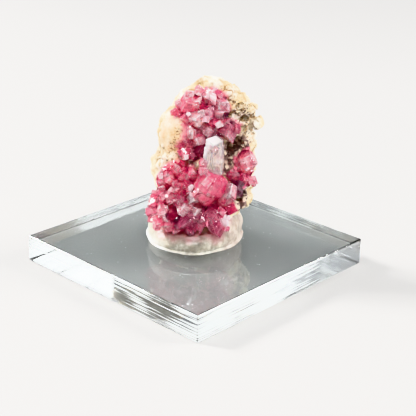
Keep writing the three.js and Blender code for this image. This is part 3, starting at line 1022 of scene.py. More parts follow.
LOWER_CRYSTALS = [
    # the crust of small blocks on the left
    Crystal((-3.3, -3.1, 13.2), (-0.2, -0.6, 0.8), 1.0, BLOCK, 0.46, 0.05),
    Crystal((-1.9, -3.6, 12.1), (-0.2, -0.8, 0.5), 1.3, BLOCK, 0.56, 0.0),
    Crystal((-0.6, -4.0, 12.4), (0.1, -0.8, 0.6), 1.0, STEEP, 0.52, 0.05),
    Crystal((-4.3, -3.2, 11.6), (-0.6, -0.6, 0.4), 1.2, BLOCK, 0.5, 0.08),
    Crystal((-5.4, -2.7, 10.3), (-0.7, -0.6, 0.3), 1.1, BLOCK, 0.5, 0.1),
    Crystal((-2.9, -3.9, 10.2), (-0.1, -0.8, 0.6), 1.5, BLOCK, 0.64, 0.0),
    Crystal((-1.2, -4.1, 10.6), (0.1, -0.9, 0.2), 1.1, BLOCK, 0.62, 0.1),
    Crystal((-5.7, -3.4, 8.5), (-0.8, -0.5, 0.2), 1.25, BLOCK, 0.55, 0.25),
    Crystal((-4.2, -4.2, 8.6), (-0.3, -0.9, 0.1), 1.2, BLOCK, 0.56, 0.1),
    Crystal((-2.5, -4.6, 8.1), (0.0, -0.9, 0.3), 1.25, BLOCK, 0.62, 0.5),
    Crystal((-6.6, -3.3, 6.9), (-0.9, -0.4, 0.1), 1.2, BLOCK, 0.66, 0.3),
    Crystal((-5.3, -4.5, 6.6), (-0.5, -0.8, 0.2), 1.2, BLOCK, 0.52, 0.05),
    Crystal((-7.1, -3.2, 5.4), (-0.8, -0.4, -0.3), 1.15, BLOCK, 0.6, 0.5),
    Crystal((-5.7, -4.3, 4.4), (-0.5, -0.7, -0.5), 1.25, STEEP, 0.6, 0.05),
    Crystal((-4.1, -4.9, 4.0), (-0.2, -0.7, -0.7), 1.15, BLOCK, 0.72, 0.0, 2.4),
    Crystal((-1.7, -4.9, 7.0), (0.0, -0.7, 0.7), 1.9, FLAT, 0.38, 0.05),
    Crystal((-0.4, -4.5, 8.4), (0.1, -0.9, 0.3), 1.0, STEEP, 0.1, 0.4),
    Crystal((-6.6, -1.4, 6.6), (-0.95, 0.0, 0.2), 1.2, BLOCK, 0.56, 0.2),
    # the great crystal in the middle and its two knobs
    Crystal((1.1, -3.9, 14.3), (-0.1, -0.6, 0.8), 0.85, BLOCK, 0.55, 0.05, 1.8, bare=True),
    Crystal((1.0, -4.4, 13.1), (-0.2, -0.8, 0.5), 0.85, BLOCK, 0.5, 0.05, 1.8, bare=True),
    replace(GREAT, at=(2.3, -4.5, 11.1), along=(0.3, -0.72, 0.62), girth=2.6, length=4.5),
    replace(GREAT, at=(1.4, -4.9, 9.4), along=(-0.2, -0.85, -0.45)),
    # those that lean out on its right
    Crystal((4.8, -4.0, 8.8), (0.3, -0.35, 0.9), 1.3, STEEP, 0.5, 0.15, 6.0, bare=True),
    Crystal((5.3, -3.7, 6.8), (0.85, -0.4, -0.2), 1.15, STEEP, 0.72, 0.05, 3.2, bare=True),
    Crystal((3.9, -4.7, 6.4), (0.1, -0.8, -0.5), 1.1, STEEP, 0.72, 0.05),
    # the spray of long crystals at the bottom
    Crystal((-1.0, -5.1, 5.3), (-0.78, -0.25, -0.5), 1.45, STEEP, 0.92, 0.7, 6.4, bare=True),
    Crystal((2.9, -5.3, 4.9), (0.32, -0.3, -0.88), 1.3, STEEP, 0.78, 0.6, 5.8, bare=True),
    Crystal((1.0, -5.4, 5.2), (-0.1, -0.5, -0.85), 1.0, TOOTH, 0.8, 0.6, 4.8),
    Crystal((4.2, -4.8, 5.4), (0.5, -0.4, -0.75), 0.9, TOOTH, 0.05, 0.9, 3.6),
    Crystal((0.0, -5.3, 4.2), (-0.35, -0.5, -0.8), 0.75, TOOTH, 0.72, 0.4, 3.2),
    Crystal((-2.7, -5.2, 4.0), (-0.45, -0.5, -0.75), 0.95, STEEP, 0.62, 0.2, 3.0),
    Crystal((-5.5, -3.3, 11.7), (-0.5, -0.7, 0.5), 0.55, BLOCK, 0.0, 0.3),
    Crystal((-0.8, -4.9, 10.3), (0.3, -0.3, 1.0), 0.36, STEEP, 0.05, 0.6, 1.8),
    Crystal((-0.7, -5.0, 9.0), (-0.2, -0.4, 1.0), 0.4, STEEP, 0.0, 0.7, 2.0),
]

RIGHT_CRYSTALS = [
    Crystal((7.7, -1.7, 13.8), (0.25, -0.6, 0.75), 1.55, BLOCK, 0.47, 0.32, 4.2, bare=True),
    Crystal((8.3, -1.5, 12.3), (0.8, -0.5, 0.0), 0.95, BLOCK, 0.5, 0.37),
    Crystal((6.6, -2.2, 13.0), (-0.1, -0.9, 0.2), 0.85, BLOCK, 0.52, 0.32),
    Crystal((7.4, -2.5, 11.2), (0.2, -0.85, 0.2), 1.2, BLOCK, 0.52, 0.22),
    Crystal((6.0, -2.6, 11.7), (-0.3, -0.9, 0.0), 0.95, BLOCK, 0.34, 0.52),
    Crystal((8.5, -1.8, 10.7), (0.8, -0.4, -0.2), 0.95, STEEP, 0.5, 0.42),
    Crystal((6.4, -2.9, 9.6), (0.1, -0.35, 0.9), 1.05, STEEP, 1.0, 1.0, 4.0, bare=True),
]


# ---------------------------------------------------------------------------------------- rock


@dataclass(frozen=True)
class Station:
    """One level of the stone: its left and right outline as (x, z), and its front and back y."""

    left: tuple[float, float]
    right: tuple[float, float]
    front: float
    back: float


@dataclass(frozen=True)
class Swell:
    """A place where the stone swells or, with a height below nought, is hollowed."""

    at: Triple
    reach: float
    height: float


def along_curve(points: Sequence[tuple[float, float]], share: float) -> Vector:
    """Finds a point on a smooth curve through points.

    Args:
        points: The points that the curve passes.
        share: How far along it, from 0 to 1.

    Returns:
        The point there.
    """
    last = len(points) - 1
    whole = min(int(share * last), last)
    part = share * last - whole
    before, start, end, after = (
        Vector(points[min(max(whole + step, 0), last)]) for step in (-1, 0, 1, 2)
    )
    leaving = (end - before) * 0.5
    arriving = (after - start) * 0.5
    cubic = (start - end) * 2 + leaving + arriving
    square = (end - start) * 3 - leaving * 2 - arriving
    return cubic * part**3 + square * part**2 + leaving * part + start


@dataclass
class MatrixRock:
    """The upright stone that the crystals grew on."""

    squareness: float = 0.9  # 1 is an oval section, and less is boxier
    voxel: float = 0.13  # the size of its quads
    knob_mm: float = 1.5  # across the rounded knobs that it weathered to
    crumb_mm: float = 0.7  # across the crumbs in its hollows
    slab_mm: float = 3.4  # from crevice to crevice
    pock_mm: float = 1.3  # from one small pock to the next
    grain_mm: float = 0.35
    knob_height: float = 0.36  # this and the next ones say how far each stands out or in
    crumb_height: float = 0.14
    oxide_height: float = 0.34  # that crumbs stand out by as well where oxide has gathered
    grain_height: float = 0.08
    crevice_depth: float = 0.3
    pock_depth: float = 0.3
    dome_wear: float = 0.85  # how much of all that has worn off the dome
    worn_between: tuple[float, float] = (0.05, 0.35)  # how near its middle that sets in
    peach_between: tuple[float, float] = (0.02, 0.3)  # and its colour
    slab_wander: float = 0.35  # how far crevices stray from straight, and pocks from round
    pock_wander: float = 0.2
    wander_mm: float = 1.3
    crevice_width: float = 0.16  # this and the next one are shares of their spacing
    pock_between: tuple[float, float] = (0.1, 0.3)  # from its flat floor to its brim
    specks_between: tuple[float, float] = (0.0, 0.4)  # how near its middle a speckled patch sets in
    oxide_between: tuple[float, float] = (0.22, 0.42)  # and a patch of oxide
    oxide_wander: float = 0.3  # how ragged that is
    oxide_wander_mm: float = 0.9
    dust_and_shade_share: float = 0.8  # how full of dust and painted shade the hollows of the weathering are
    dust_and_shade_between: tuple[float, float] = (0.03, 0.17)  # the depths between which it sets in
    stain_share: float = 0.75  # of the crystals' pink, on the rock they touch
    stain_reach: tuple[float, float] = (0.1, 0.7)  # the gaps between which it fades out
    stain_wander: float = 0.15
    dome: Triple = (-3.9, -2.6, 18.0)
    dome_reach: float = 4.6
    stations: tuple[Station, ...] = (
        Station((0.6, 0.9), (0.6, 0.9), 0.8, 0.8), Station((-3.8, 1.1), (3.9, 1.1), -2.5, 3.9),
        Station((-5.2, 3.0), (5.6, 3.4), -3.4, 4.9), Station((-6.0, 6.2), (8.5, 6.3), -3.5, 5.6),
        Station((-6.6, 9.0), (8.8, 9.0), -3.1, 6.0), Station((-7.3, 11.2), (9.0, 11.8), -2.7, 6.2),
        Station((-6.1, 14.6), (9.0, 14.8), -2.2, 6.2), Station((-6.1, 17.8), (9.0, 17.4), -2.2, 6.0),
        Station((-4.9, 20.4), (8.7, 19.9), -2.0, 5.6), Station((-3.7, 22.2), (8.0, 22.2), -1.3, 5.2),
        Station((-2.3, 24.0), (6.9, 24.1), -0.5, 4.4), Station((-0.5, 25.5), (4.7, 25.5), 0.3, 3.0),
        Station((1.4, 26.6), (1.4, 26.6), 1.3, 1.3),
    )
    swells: tuple[Swell, ...] = (
        Swell((-3.6, -2.2, 18.0), 4.2, 1.3), Swell((-5.8, -1.6, 15.0), 2.2, -0.5),
        Swell((-5.6, -2.0, 12.0), 3.2, 0.8), Swell((1.6, -0.4, 25.4), 2.0, 0.5),
        Swell((4.8, -0.6, 24.6), 2.2, 0.6), Swell((3.2, -0.4, 25.6), 1.2, -0.4),
        Swell((6.6, -0.8, 23.0), 1.8, 0.5), Swell((8.4, -0.2, 20.9), 2.6, 0.9),
        Swell((8.2, -0.8, 18.8), 1.4, 0.4), Swell((7.8, -1.2, 16.8), 1.5, 0.5),
        Swell((5.8, -2.4, 15.6), 3.0, -1.6), Swell((5.2, -2.6, 12.8), 2.5, -1.5),
        Swell((6.4, -2.6, 8.4), 2.2, -1.3), Swell((8.2, -1.0, 6.2), 2.0, 0.5),
        Swell((-3.4, 5.0, 8.6), 4.0, 1.2), Swell((3.6, 6.2, 13.6), 4.2, 1.1),
        Swell((0.2, 5.6, 19.4), 3.6, 1.0), Swell((-4.6, 4.2, 14.6), 3.0, -1.4),
        Swell((2.4, 6.0, 9.0), 3.0, -1.3), Swell((6.4, 4.8, 17.6), 3.0, -1.4),
    )
    knobs: tuple[tuple[Triple, Triple], ...] = (
        ((8.0, 0.1, 21.7), (1.3, 1.5, 1.1)), ((9.1, 0.2, 19.7), (1.15, 1.3, 1.1)),
    )
    pits: tuple[tuple[Triple, Triple], ...] = (
        ((5.9, -0.5, 15.9), (1.5, 1.5, 1.7)), ((6.6, -0.5, 22.1), (0.9, 0.9, 0.8)),
        ((5.3, -1.3, 20.9), (1.1, 0.8, 0.6)), ((7.2, -0.6, 20.5), (0.7, 0.7, 0.6)),
        ((6.6, -1.0, 8.2), (1.0, 1.3, 1.3)),
    )
    # Where dark specks lie thickest, each with its reach.
    specks: tuple[tuple[Triple, float], ...] = (
        ((-2.0, -2.6, 19.0), 2.2), ((-2.2, -2.6, 17.4), 2.8), ((-3.6, -2.6, 15.6), 2.2),
        ((-5.4, -2.0, 13.6), 2.0), ((6.6, -0.8, 21.4), 3.4), ((4.6, -0.8, 24.2), 2.6),
        ((8.2, -1.0, 17.4), 2.4),
    )
    # Where oxide has gathered, each with its reach.
    oxide: tuple[tuple[Triple, float], ...] = (
        ((6.2, -0.8, 16.0), 3.3), ((5.6, -1.2, 14.6), 2.8), ((5.3, -1.4, 13.0), 3.0),
        ((6.6, -0.8, 22.1), 1.3), ((5.3, -1.6, 21.0), 1.5), ((7.2, -0.9, 20.5), 1.1),
        ((6.2, -1.6, 8.9), 3.2), ((6.5, -1.6, 7.2), 2.6), ((-1.0, -2.6, 13.6), 1.6),
    )

    def on_outline(self, ball: Vector) -> Vector:
        """Wraps a point of a ball onto the stone's outline.

        Args:
            ball: The point, on a ball of radius 1 with its poles on y.

        Returns:
            Its place on the stone.
        """
        share = 1.0 - math.acos(min(max(ball.y, -1.0), 1.0)) / math.pi
        angle = math.atan2(ball.z, ball.x)
        across, through = (
            math.copysign(abs(v) ** self.squareness, v) for v in (math.cos(angle), math.sin(angle))
        )
        left = along_curve([s.left for s in self.stations], share)
        right = along_curve([s.right for s in self.stations], share)
        front, back = along_curve([(s.front, s.back) for s in self.stations], share)
        edge = (left + right) / 2 + (right - left) / 2 * across
        return Vector((edge.x, (front + back) / 2 - through * (back - front) / 2, edge.y))

    def swelling(self, point: Vector) -> float:
        """Says how far the stone stands out or in at a point."""
        return ruggedness(point) + sum(s.height * nearness(point, s.at, s.reach) for s in self.swells)

    def stone(self, grow: float = 0.0) -> bmesh.types.BMesh:
        """Builds the stone without its knobs and pits.

        Args:
            grow: How far its surface is pushed out all round.

        Returns:
            Its mesh.
        """
        bm = bmesh.new()
        bmesh.ops.create_icosphere(bm, subdivisions=FINE, radius=1.0)
        for vert in bm.verts:
            vert.co = self.on_outline(vert.co)
        push_out(bm, self.swelling)
        if grow:
            push_out(bm, lambda point: grow)
        return bm

    def oxidised(self, point: Vector) -> float:
        """Says how much oxide lies at a point.

        Args:
            point: Where.

        Returns:
            From 0, none, to 1.
        """
        most = max(nearness(point, at, reach) for at, reach in self.oxide)
        most += self.oxide_wander * noise.noise(point / self.oxide_wander_mm)
        return smoothstep(most, *self.oxide_between)

    def weathering(self, point: Vector) -> float:
        """Says how far knobs, crumbs and grains stand out.

        Args:
            point: Where.

        Returns:
            Millimetres, less than nought in a crevice or a pock.
        """
        worn = smoothstep(nearness(point, self.dome, self.dome_reach), *self.worn_between)
        rough = 1.0 - self.dome_wear * worn
        oxide = self.oxidised(point)
        knobs = lump(point, self.knob_mm)
        crumbs = lump(point, self.crumb_mm)
        wander = noise.noise_vector(point / self.wander_mm)
        first, second = noise.voronoi(point / self.slab_mm + self.slab_wander * wander)[0][:2]
        crevice = 1.0 - smoothstep(second - first, 0.0, self.crevice_width)
        middle = noise.voronoi(point / self.pock_mm + self.pock_wander * wander)[0][0]
        pock = 1.0 - smoothstep(middle, *self.pock_between)
        return (
            self.knob_height * rough * knobs
            + (self.crumb_height * rough + self.oxide_height * oxide) * crumbs
            + self.grain_height * rough * noise.noise(point / self.grain_mm)
            - self.crevice_depth * rough * crevice
            - self.pock_depth * rough * pock
        )

    def ground(self) -> KDTree:
        """Finds where the plain stone's surface is.

        Returns:
            A tree of the points on it.
        """
        bm = self.stone()
        tree = KDTree(len(bm.verts))
        for vert in bm.verts:
            tree.insert(vert.co, 0)
        bm.free()
        tree.balance()
        return tree

    def build(self, crystals: KDTree) -> bpy.types.Object:
        """Builds and dresses the rock.

        Args:
            crystals: Where the pink crystals are, which stain what they grow from.

        Returns:
            The finished piece.
        """
        knobs = [boulder(at, size) for at, size in self.knobs]
        pits = [boulder(at, size) for at, size in self.pits]
        whole = combine(self.stone(), Joining.JOINED, knobs)
        hollowed = combine(whole, Joining.CUT_BY, pits)
        bm = remeshed(hollowed, self.voxel * (1))
        bm.normal_update()
        # Dust and painted shade in the low places of the weathering.
        crease = bm.verts.layers.float.new("crease")
        for vert in bm.verts:
            vert[crease] = self.dust_and_shade_share * smoothstep(-self.weathering(vert.co), *self.dust_and_shade_between)
        push_out(bm, self.weathering)
        dark, peach, speckled, stain = (
            bm.verts.layers.float.new(name) for name in ("dark", "peach", "speckled", "stain")
        )
        for vert in bm.verts:
            vert[dark] = self.oxidised(vert.co)
            near_dome = nearness(vert.co, self.dome, self.dome_reach)
            vert[peach] = smoothstep(near_dome, *self.peach_between)
            thickest = max(nearness(vert.co, at, reach) for at, reach in self.specks)
            vert[speckled] = smoothstep(thickest, *self.specks_between)
            gap = crystals.find(vert.co)[2] + self.stain_wander * noise.noise(vert.co)
            vert[stain] = self.stain_share * (1.0 - smoothstep(gap, *self.stain_reach))
        for face in bm.faces:
            face.smooth = True
        bm.transform(SPECIMEN)
        finish = WeatheredCarbonate().material("weathered_carbonate_rock")
        return finished_piece("weathered_rock", bm, [finish], "matrix_rock")


# ----------------------------------------------------------------------------- crystal groups


def nearest(crystals: list[Crystal], point: Vector) -> Crystal:
    """Finds the crystal whose centre is nearest to a point."""
    return min(crystals, key=lambda crystal: (Vector(crystal.at) - point).length_squared)


@dataclass(frozen=True)
class Hollow:
    """A gap between crystals, whose walls are painted a deep colour as painted shade."""

    at: Triple
    radius: float
    tone: float
    cool: float


@dataclass
class CrystalGroup:
    """Crystals grown together, with the crust they grow from and the small ones between."""

    name: str
    node: str
    mains: list[Crystal]
    crust: list[tuple[Triple, Triple]]  # balls that mark out where it covers the rock
    small_count: int
    seed: int
    hollows: tuple[Hollow, ...] = ()
    crust_thickness: float = 0.6
    crust_margin: float = 0.1  # how far inside the balls it ends
    crust_lump_mm: float = 0.8
    crust_lumpiness: float = 0.3
    crust_deepening: float = 0.1  # how much deeper and cooler it is than the crystal above
    crust_cooling: float = 0.25
    small_girth: tuple[float, float] = (0.25, 0.75)
    small_sink: tuple[float, float] = (-0.35, 0.1)
    small_splay: float = 0.5
    small_tone: tuple[float, float] = (-0.12, 0.15)  # beside its neighbour's
    small_cool: tuple[float, float] = (-0.15, 0.2)
    small_facing: float = 0.25  # none grows on a face that looks further back
    gap_shade_reach: tuple[float, float] = (0.5, 2.2)  # how far off the rock the painted shade deepens the colour

    def ground(self, rock: MatrixRock) -> bmesh.types.BMesh:
        """Builds the crust: the part of the stone's skin inside the group's balls.

        Args:
            rock: The stone.

        Returns:
            A closed mesh with a tone on each face.
        """
        balls = [boulder(at, size, -self.crust_margin) for at, size in self.crust]
        extent = combine(balls[0], Joining.JOINED, balls[1:])
        skin = rock.stone(self.crust_thickness)
        push_out(skin, lambda point: self.crust_lumpiness * lump(point, self.crust_lump_mm))
        bm = combine(skin, Joining.TRIMMED_TO, [extent])
        tone, cool = (bm.faces.layers.float.new(name) for name in ("tone", "cool"))
        for face in bm.faces:
            face.smooth = True
            near = nearest(self.mains, face.calc_center_median())
            face[tone] = min(near.tone + self.crust_deepening, 1.0)
            face[cool] = min(near.cool + self.crust_cooling, 1.0)
        return bm

    def small_ones(self, bm: bmesh.types.BMesh, large: list[Crystal]) -> list[Crystal]:
        """Scatters small crystals over the crust and all but the bare large crystals.

        Each grows roughly parallel to the large crystal that it is nearest to.

        Args:
            bm: The crust and the large crystals as one mesh.
            large: The large crystals.

        Returns:
            The small crystals.
        """
        drawn = random.Random(self.seed)
        bm.normal_update()
        outer = [face for face in bm.faces if face.normal.y < self.small_facing]
        outer.sort(key=lambda face: fixed_order(face.calc_center_median()))
        areas = [face.calc_area() for face in outer]
        made = []
        for face in drawn.choices(outer, weights=areas, k=self.small_count):
            corners = sorted((vert.co for vert in face.verts), key=fixed_order)
            shares = [drawn.random() for _ in corners]
            point = sum((c * s for c, s in zip(corners, shares)), Vector()) / sum(shares)
            point += face.normal * drawn.uniform(*self.small_sink)
            scatter = Vector([drawn.uniform(-1.0, 1.0) for _ in range(3)])
            if any(crystal.bare and crystal.holds(point) for crystal in large):
                continue
            near = nearest(large, point)
            made.append(
                Crystal(
                    at=tuple(point),
                    along=tuple(near.axis() + self.small_splay * scatter),
                    girth=drawn.uniform(*self.small_girth),
                    habit=drawn.choices((BLOCK, STEEP), weights=(1, 2))[0],
                    tone=min(max(near.tone + drawn.uniform(*self.small_tone), 0.0), 1.0),
                    cool=min(max(near.cool + drawn.uniform(*self.small_cool), 0.0), 1.0),
                    spin=(near.spin or 0.0) + self.small_splay * drawn.uniform(-1.0, 1.0),
                )
            )
        return made

    def mesh(self, rock: MatrixRock) -> bmesh.types.BMesh:
        """Builds the whole group in the specimen's frame.

        Args:
            rock: The stone that it grows on.

        Returns:
            One closed mesh with a tone on each face.
        """
        large = [member for i, main in enumerate(self.mains) for member in main.family(i)]
        crust = self.ground(rock)
        bm = combine(crust, Joining.JOINED, [m for crystal in large for m in crystal.meshes()])
        small = self.small_ones(bm, large)
        bm = combine(bm, Joining.JOINED, [m for crystal in small for m in crystal.meshes()])
        if self.hollows:
            bm = combine(bm, Joining.CUT_BY, [self.scoop(hollow) for hollow in self.hollows])
        return bm

    def scoop(self, hollow: Hollow) -> bmesh.types.BMesh:
        """Makes the lump that a hollow leaves out.

        Args:
            hollow: The hollow.

        Returns:
            Its mesh, toned deep for the walls of the hollow, as painted shade.
        """
        bm = boulder(hollow.at, (hollow.radius,) * 3, subdivisions=3)
        tone, cool = (bm.faces.layers.float.new(name) for name in ("tone", "cool"))
        for face in bm.faces:
            # Painted shade: the walls of the hollow take its deep tone.
            face[tone] = hollow.tone
            face[cool] = hollow.cool
        return bm

    def build(self, bm: bmesh.types.BMesh, ground: KDTree) -> bpy.types.Object:
        """Dresses the group's mesh and makes it a piece.

        Args:
            bm: The mesh, which is freed.
            ground: Where the rock's surface is.

        Returns:
            The finished piece.
        """
        # Painted shade down among the crystals, near the rock, easing to painted light at their tips.
        root = bm.verts.layers.float.new("root")
        for vert in bm.verts:
            vert[root] = 1.0 - smoothstep(ground.find(vert.co)[2], *self.gap_shade_reach)
        keep_crisp(bm)
        bm.transform(SPECIMEN)
        finish = PinkCalcite().material(f"cobaltoan_calcite_{self.name}")
        return finished_piece(f"{self.name}_druse", bm, [finish], self.node)


@dataclass
class ClearCrystal:
    """The blunt, nearly colourless crystal in the middle, with thinner ones as its steps."""

    prisms: tuple[Crystal, ...] = (
        Crystal((2.7, -3.1, 15.1), (0.02, -0.06, 1.0), 1.5, FLAT, 0.5, 0.0, 6.6, 0.35),
        Crystal((3.0, -3.3, 14.6), (0.0, -0.06, 1.0), 1.3, FLAT, 0.5, 0.0, 5.8, 0.35),
        Crystal((2.2, -3.4, 14.4), (0.1, -0.08, 1.0), 1.35, FLAT, 0.5, 0.0, 5.4, 0.35),
        Crystal((2.75, -3.75, 14.4), (0.04, -0.08, 1.0), 1.05, FLAT, 0.5, 0.0, 5.6, 0.35),
        Crystal((2.3, -3.7, 15.2), (0.04, -0.08, 1.0), 0.85, FLAT, 0.5, 0.0, 5.2, 0.35),
        Crystal((3.2, -3.6, 15.0), (0.02, -0.08, 1.0), 0.8, FLAT, 0.5, 0.0, 5.0, 0.35),
    )

    wobble: float = 0.03
    milky: tuple[float, float] = (16.6, 18.4)  # the heights between which its middle turns milky, with a painted highlight
    milk_slant: float = 0.8  # how much lower that starts for each millimetre further left
    milk_lift: float = 2.1  # the slant across half of its width

    def build(self) -> bpy.types.Object:
        """Builds and dresses the crystal.

        Returns:
            The finished piece.
        """
        prisms = [replace(prism, wobble=self.wobble) for prism in self.prisms]
        first, *others = [mesh for prism in prisms for mesh in prism.meshes()]
        bm = combine(first, Joining.JOINED, others)
        # Milky bubbles at its top, which also paint a highlight on its top left.
        milk = bm.verts.layers.float.new("milk")
        for vert in bm.verts:
            vert[milk] = smoothstep(
                vert.co.z - self.milk_slant * vert.co.x + self.milk_lift, *self.milky
            )
        keep_crisp(bm)
        bm.transform(SPECIMEN)
        finish = ClearCalcite().material("clear_calcite_as_grown")
        return finished_piece("clear_stepped_crystal", bm, [finish], "clear_crystal")


# --------------------------------------------------------------------------------------- putty


@dataclass
class MountingPutty:
    """The pat of putty that the stone is pressed into, in millimetres."""

    centre: tuple[float, float] = (-0.25, 0.9)
    bond: float = -0.02  # it wets the base, so its underside lies a hair inside
    rise: float = 0.9  # how much higher it is pushed up on the right, as a share
    rise_between: tuple[float, float] = (1.5, 7.0)
    lump_mm: float = 1.1  # across the lumps where it is pushed up
    lump_height: float = 0.3
    lumps_between: tuple[float, float] = (3.0, 5.0)
    out_of_round: tuple[Triple, ...] = ((3.0, 0.018, 0.6), (7.0, 0.012, 0.0))  # lobes, share, start
    folds: tuple[tuple[float, float], ...] = ((0.16, 1.9), (0.07, 0.8))  # height and size
    crinkle_height: float = 0.24  # round its rim
    crinkle_mm: float = 0.7
    rim_between: tuple[float, float] = (0.2, 0.9)  # the heights between which they fade out
    foot_mm: float = 0.5  # the height of its foot, below which its creases fade out
    stain_share: float = 0.8  # of the crystals' pink, painted as shadow and reflection where they touch it
    stain_reach: tuple[float, float] = (0.2, 1.9)  # the gaps between which it fades out
    stain_wander: float = 0.5
    right_painted_shade: float = 0.16  # of painted pink shade on its right, which lies under the thin clear crystal
    right_between: tuple[float, float] = (3.5, 5.5)
    left_between: tuple[float, float] = (2.5, 6.5)  # how far out on the left light is painted on it
    left_painted_light: float = 0.55
    left_rise: float = 1.7  # how much higher the painted light reaches there
    brightness: float = 0.16  # of the painted light on the rest of its foot, in patches
    patch_mm: float = 1.4  # across one of them
    painted_light_from: float = 0.1  # the height up to which the painted light on its foot is brightest
    foot_wander: float = 0.4  # how ragged its upper limit is
    foot_wander_mm: float = 0.9
    edge_between: tuple[float, float] = (6.0, 7.0)  # how far out the painted light on its edge sets in
    steps: int = 160  # round it
    rows: int = 40  # along its profile
    profile: tuple[tuple[float, float], ...] = (
        (0.0, 0.0), (7.2, 0.0), (7.5, 0.35), (7.6, 1.0),
        (7.45, 1.7), (6.9, 2.3), (5.8, 2.8), (0.0, 3.0),
    )

    def build(self, crystals: KDTree) -> bpy.types.Object:
        """Spins, presses and dresses the pat.

        Args:
            crystals: Where the pink crystals are, which tint what they touch.

        Returns:
            The finished piece.
        """
        bm = bmesh.new()
        curve = [along_curve(self.profile, i / self.rows) for i in range(self.rows + 1)]
        line = [bm.verts.new((place.x, 0.0, max(place.y, 0.0))) for place in curve]
        line[0].co.x = line[-1].co.x = 0.0
        edges = [bm.edges.new(pair) for pair in zip(line, line[1:])]
        bmesh.ops.spin(
            bm,
            geom=[*line, *edges],
            cent=(0.0, 0.0, 0.0),
            axis=(0.0, 0.0, 1.0),
            angle=math.tau,
            steps=self.steps,
            use_merge=True,
        )
        bmesh.ops.remove_doubles(bm, verts=bm.verts[:], dist=0.001)
        bmesh.ops.recalc_face_normals(bm, faces=bm.faces[:])
        for vert in bm.verts:
            vert.co = self.pressed(vert.co)
        push_out(bm, self.creased)
        stain, rim = (bm.verts.layers.float.new(name) for name in ("stain", "rim"))
        for vert in bm.verts:
            # Painted pink shadow and reflection from the crystals, and painted light on its thin rim.
            gap = crystals.find(vert.co)[2] + self.stain_wander * noise.noise(vert.co)
            vert[stain] = self.stain_share * (1.0 - smoothstep(gap, *self.stain_reach))
            right = smoothstep(vert.co.x, *self.right_between)
            vert[stain] += self.right_painted_shade * right * (1.0 - vert[stain])
            vert[rim] = self.painted_rim_light(vert.co)
        for face in bm.faces:
            face.smooth = True
        bm.transform(SPECIMEN)
        finish = MineralPutty().material("hand_pressed_mineral_putty")
        return finished_piece("pressed_putty", bm, [finish], "mounting_putty")

    def pressed(self, point: Vector) -> Vector:
        """Presses the round pat out of round and up on its right.

        Args:
            point: A point of it.

        Returns:
            Where the point comes to lie.
        """
        angle = math.atan2(point.y, point.x)
        swings = (share * math.sin(lobes * angle + start) for lobes, share, start in self.out_of_round)
        out = sum(swings, 1.0)
        up = 1.0 + self.rise * smoothstep(point.x, *self.rise_between)
        return Vector(
            (
                point.x * out + self.centre[0],
                point.y * out + self.centre[1],
                point.z * up + self.bond,
            )
        )

    def painted_rim_light(self, point: Vector) -> float:
        """Says how much light is painted on the pat: on its left, where it is thin, and a little at its
        foot.

        Args:
            point: Where.

        Returns:
            From 0, thick and with none painted, to 1.
        """
        flat = Vector((point.x - self.centre[0], point.y - self.centre[1], 0.0))
        left = smoothstep(-flat.x, *self.left_between)
        height = point.z + self.foot_wander * noise.noise(point / self.foot_wander_mm)
        foot = 1.0 - smoothstep(height, self.painted_light_from, self.foot_mm + self.left_rise * left)
        uneven = smoothstep(noise.noise(point / self.patch_mm), -0.3, 0.3)
        edge = smoothstep(flat.length, *self.edge_between)
        return (self.brightness * uneven + self.left_painted_light * left) * foot * edge

    def creased(self, point: Vector) -> float:
        """Says how far folds and finger marks stand out, with none underneath.

        Args:
            point: Where.

        Returns:
            Millimetres, less than nought inwards.
        """
        above = smoothstep(point.z, 0.0, self.foot_mm)
        rim = 1.0 - smoothstep(point.z, *self.rim_between)
        lumps = lump(point, self.lump_mm)
        folds = sum(height * noise.noise(point / across) for height, across in self.folds)
        folds += self.lump_height * lumps * smoothstep(point.x, *self.lumps_between)
        level = Vector((point.x, point.y, 0.0))
        crinkles = self.crinkle_height * rim * noise.noise(level / self.crinkle_mm)
        return (folds + crinkles) * above


# ---------------------------------------------------------------------------------------- base


@dataclass
class AcrylicBase:
    """The square slab. Its edges are eased by the polishing."""

    easing: float = 0.25  # in millimetres
    segments: int = 3
    level: float = 0.9  # a face whose normal leans no further is the top or the underside

    def build(self) -> bpy.types.Object:
        """Builds and dresses the slab.

        Returns:
            The finished piece.
        """
        bm = bmesh.new()
        size = BASE_HIGH - BASE_LOW
        place = Matrix.Translation((BASE_LOW + BASE_HIGH) / 2) @ Matrix.Diagonal((*size, 1.0))
        bmesh.ops.create_cube(bm, size=1.0, matrix=place)
        bmesh.ops.bevel(
            bm,
            geom=bm.edges[:],
            offset=self.easing * MM,
            segments=self.segments,
            profile=0.5,
            affect="EDGES",
            material=-1,
            clamp_overlap=True,
        )
        bm.normal_update()
        for face in bm.faces:
            face.material_index = 0 if abs(face.normal.z) > self.level else 1
        acrylic = CastAcrylic()
        finishes = [acrylic.face("cast_acrylic_face"), acrylic.side("sawn_and_polished_acrylic")]
        return finished_piece("clear_slab", bm, finishes, "acrylic_base")


# -------------------------------------------------------------------------------------- studio


@dataclass(frozen=True)
class SoftBox:
    """A large soft light. Its place is in metres, and it faces the specimen."""

    name: str
    at: Triple
    width: float
    power: float


@dataclass(frozen=True)
class Panel:
    """A large white panel far off, which shows in glassy faces."""

    direction: Triple
    edge: float  # the cosine of its half angle
    brightness: float


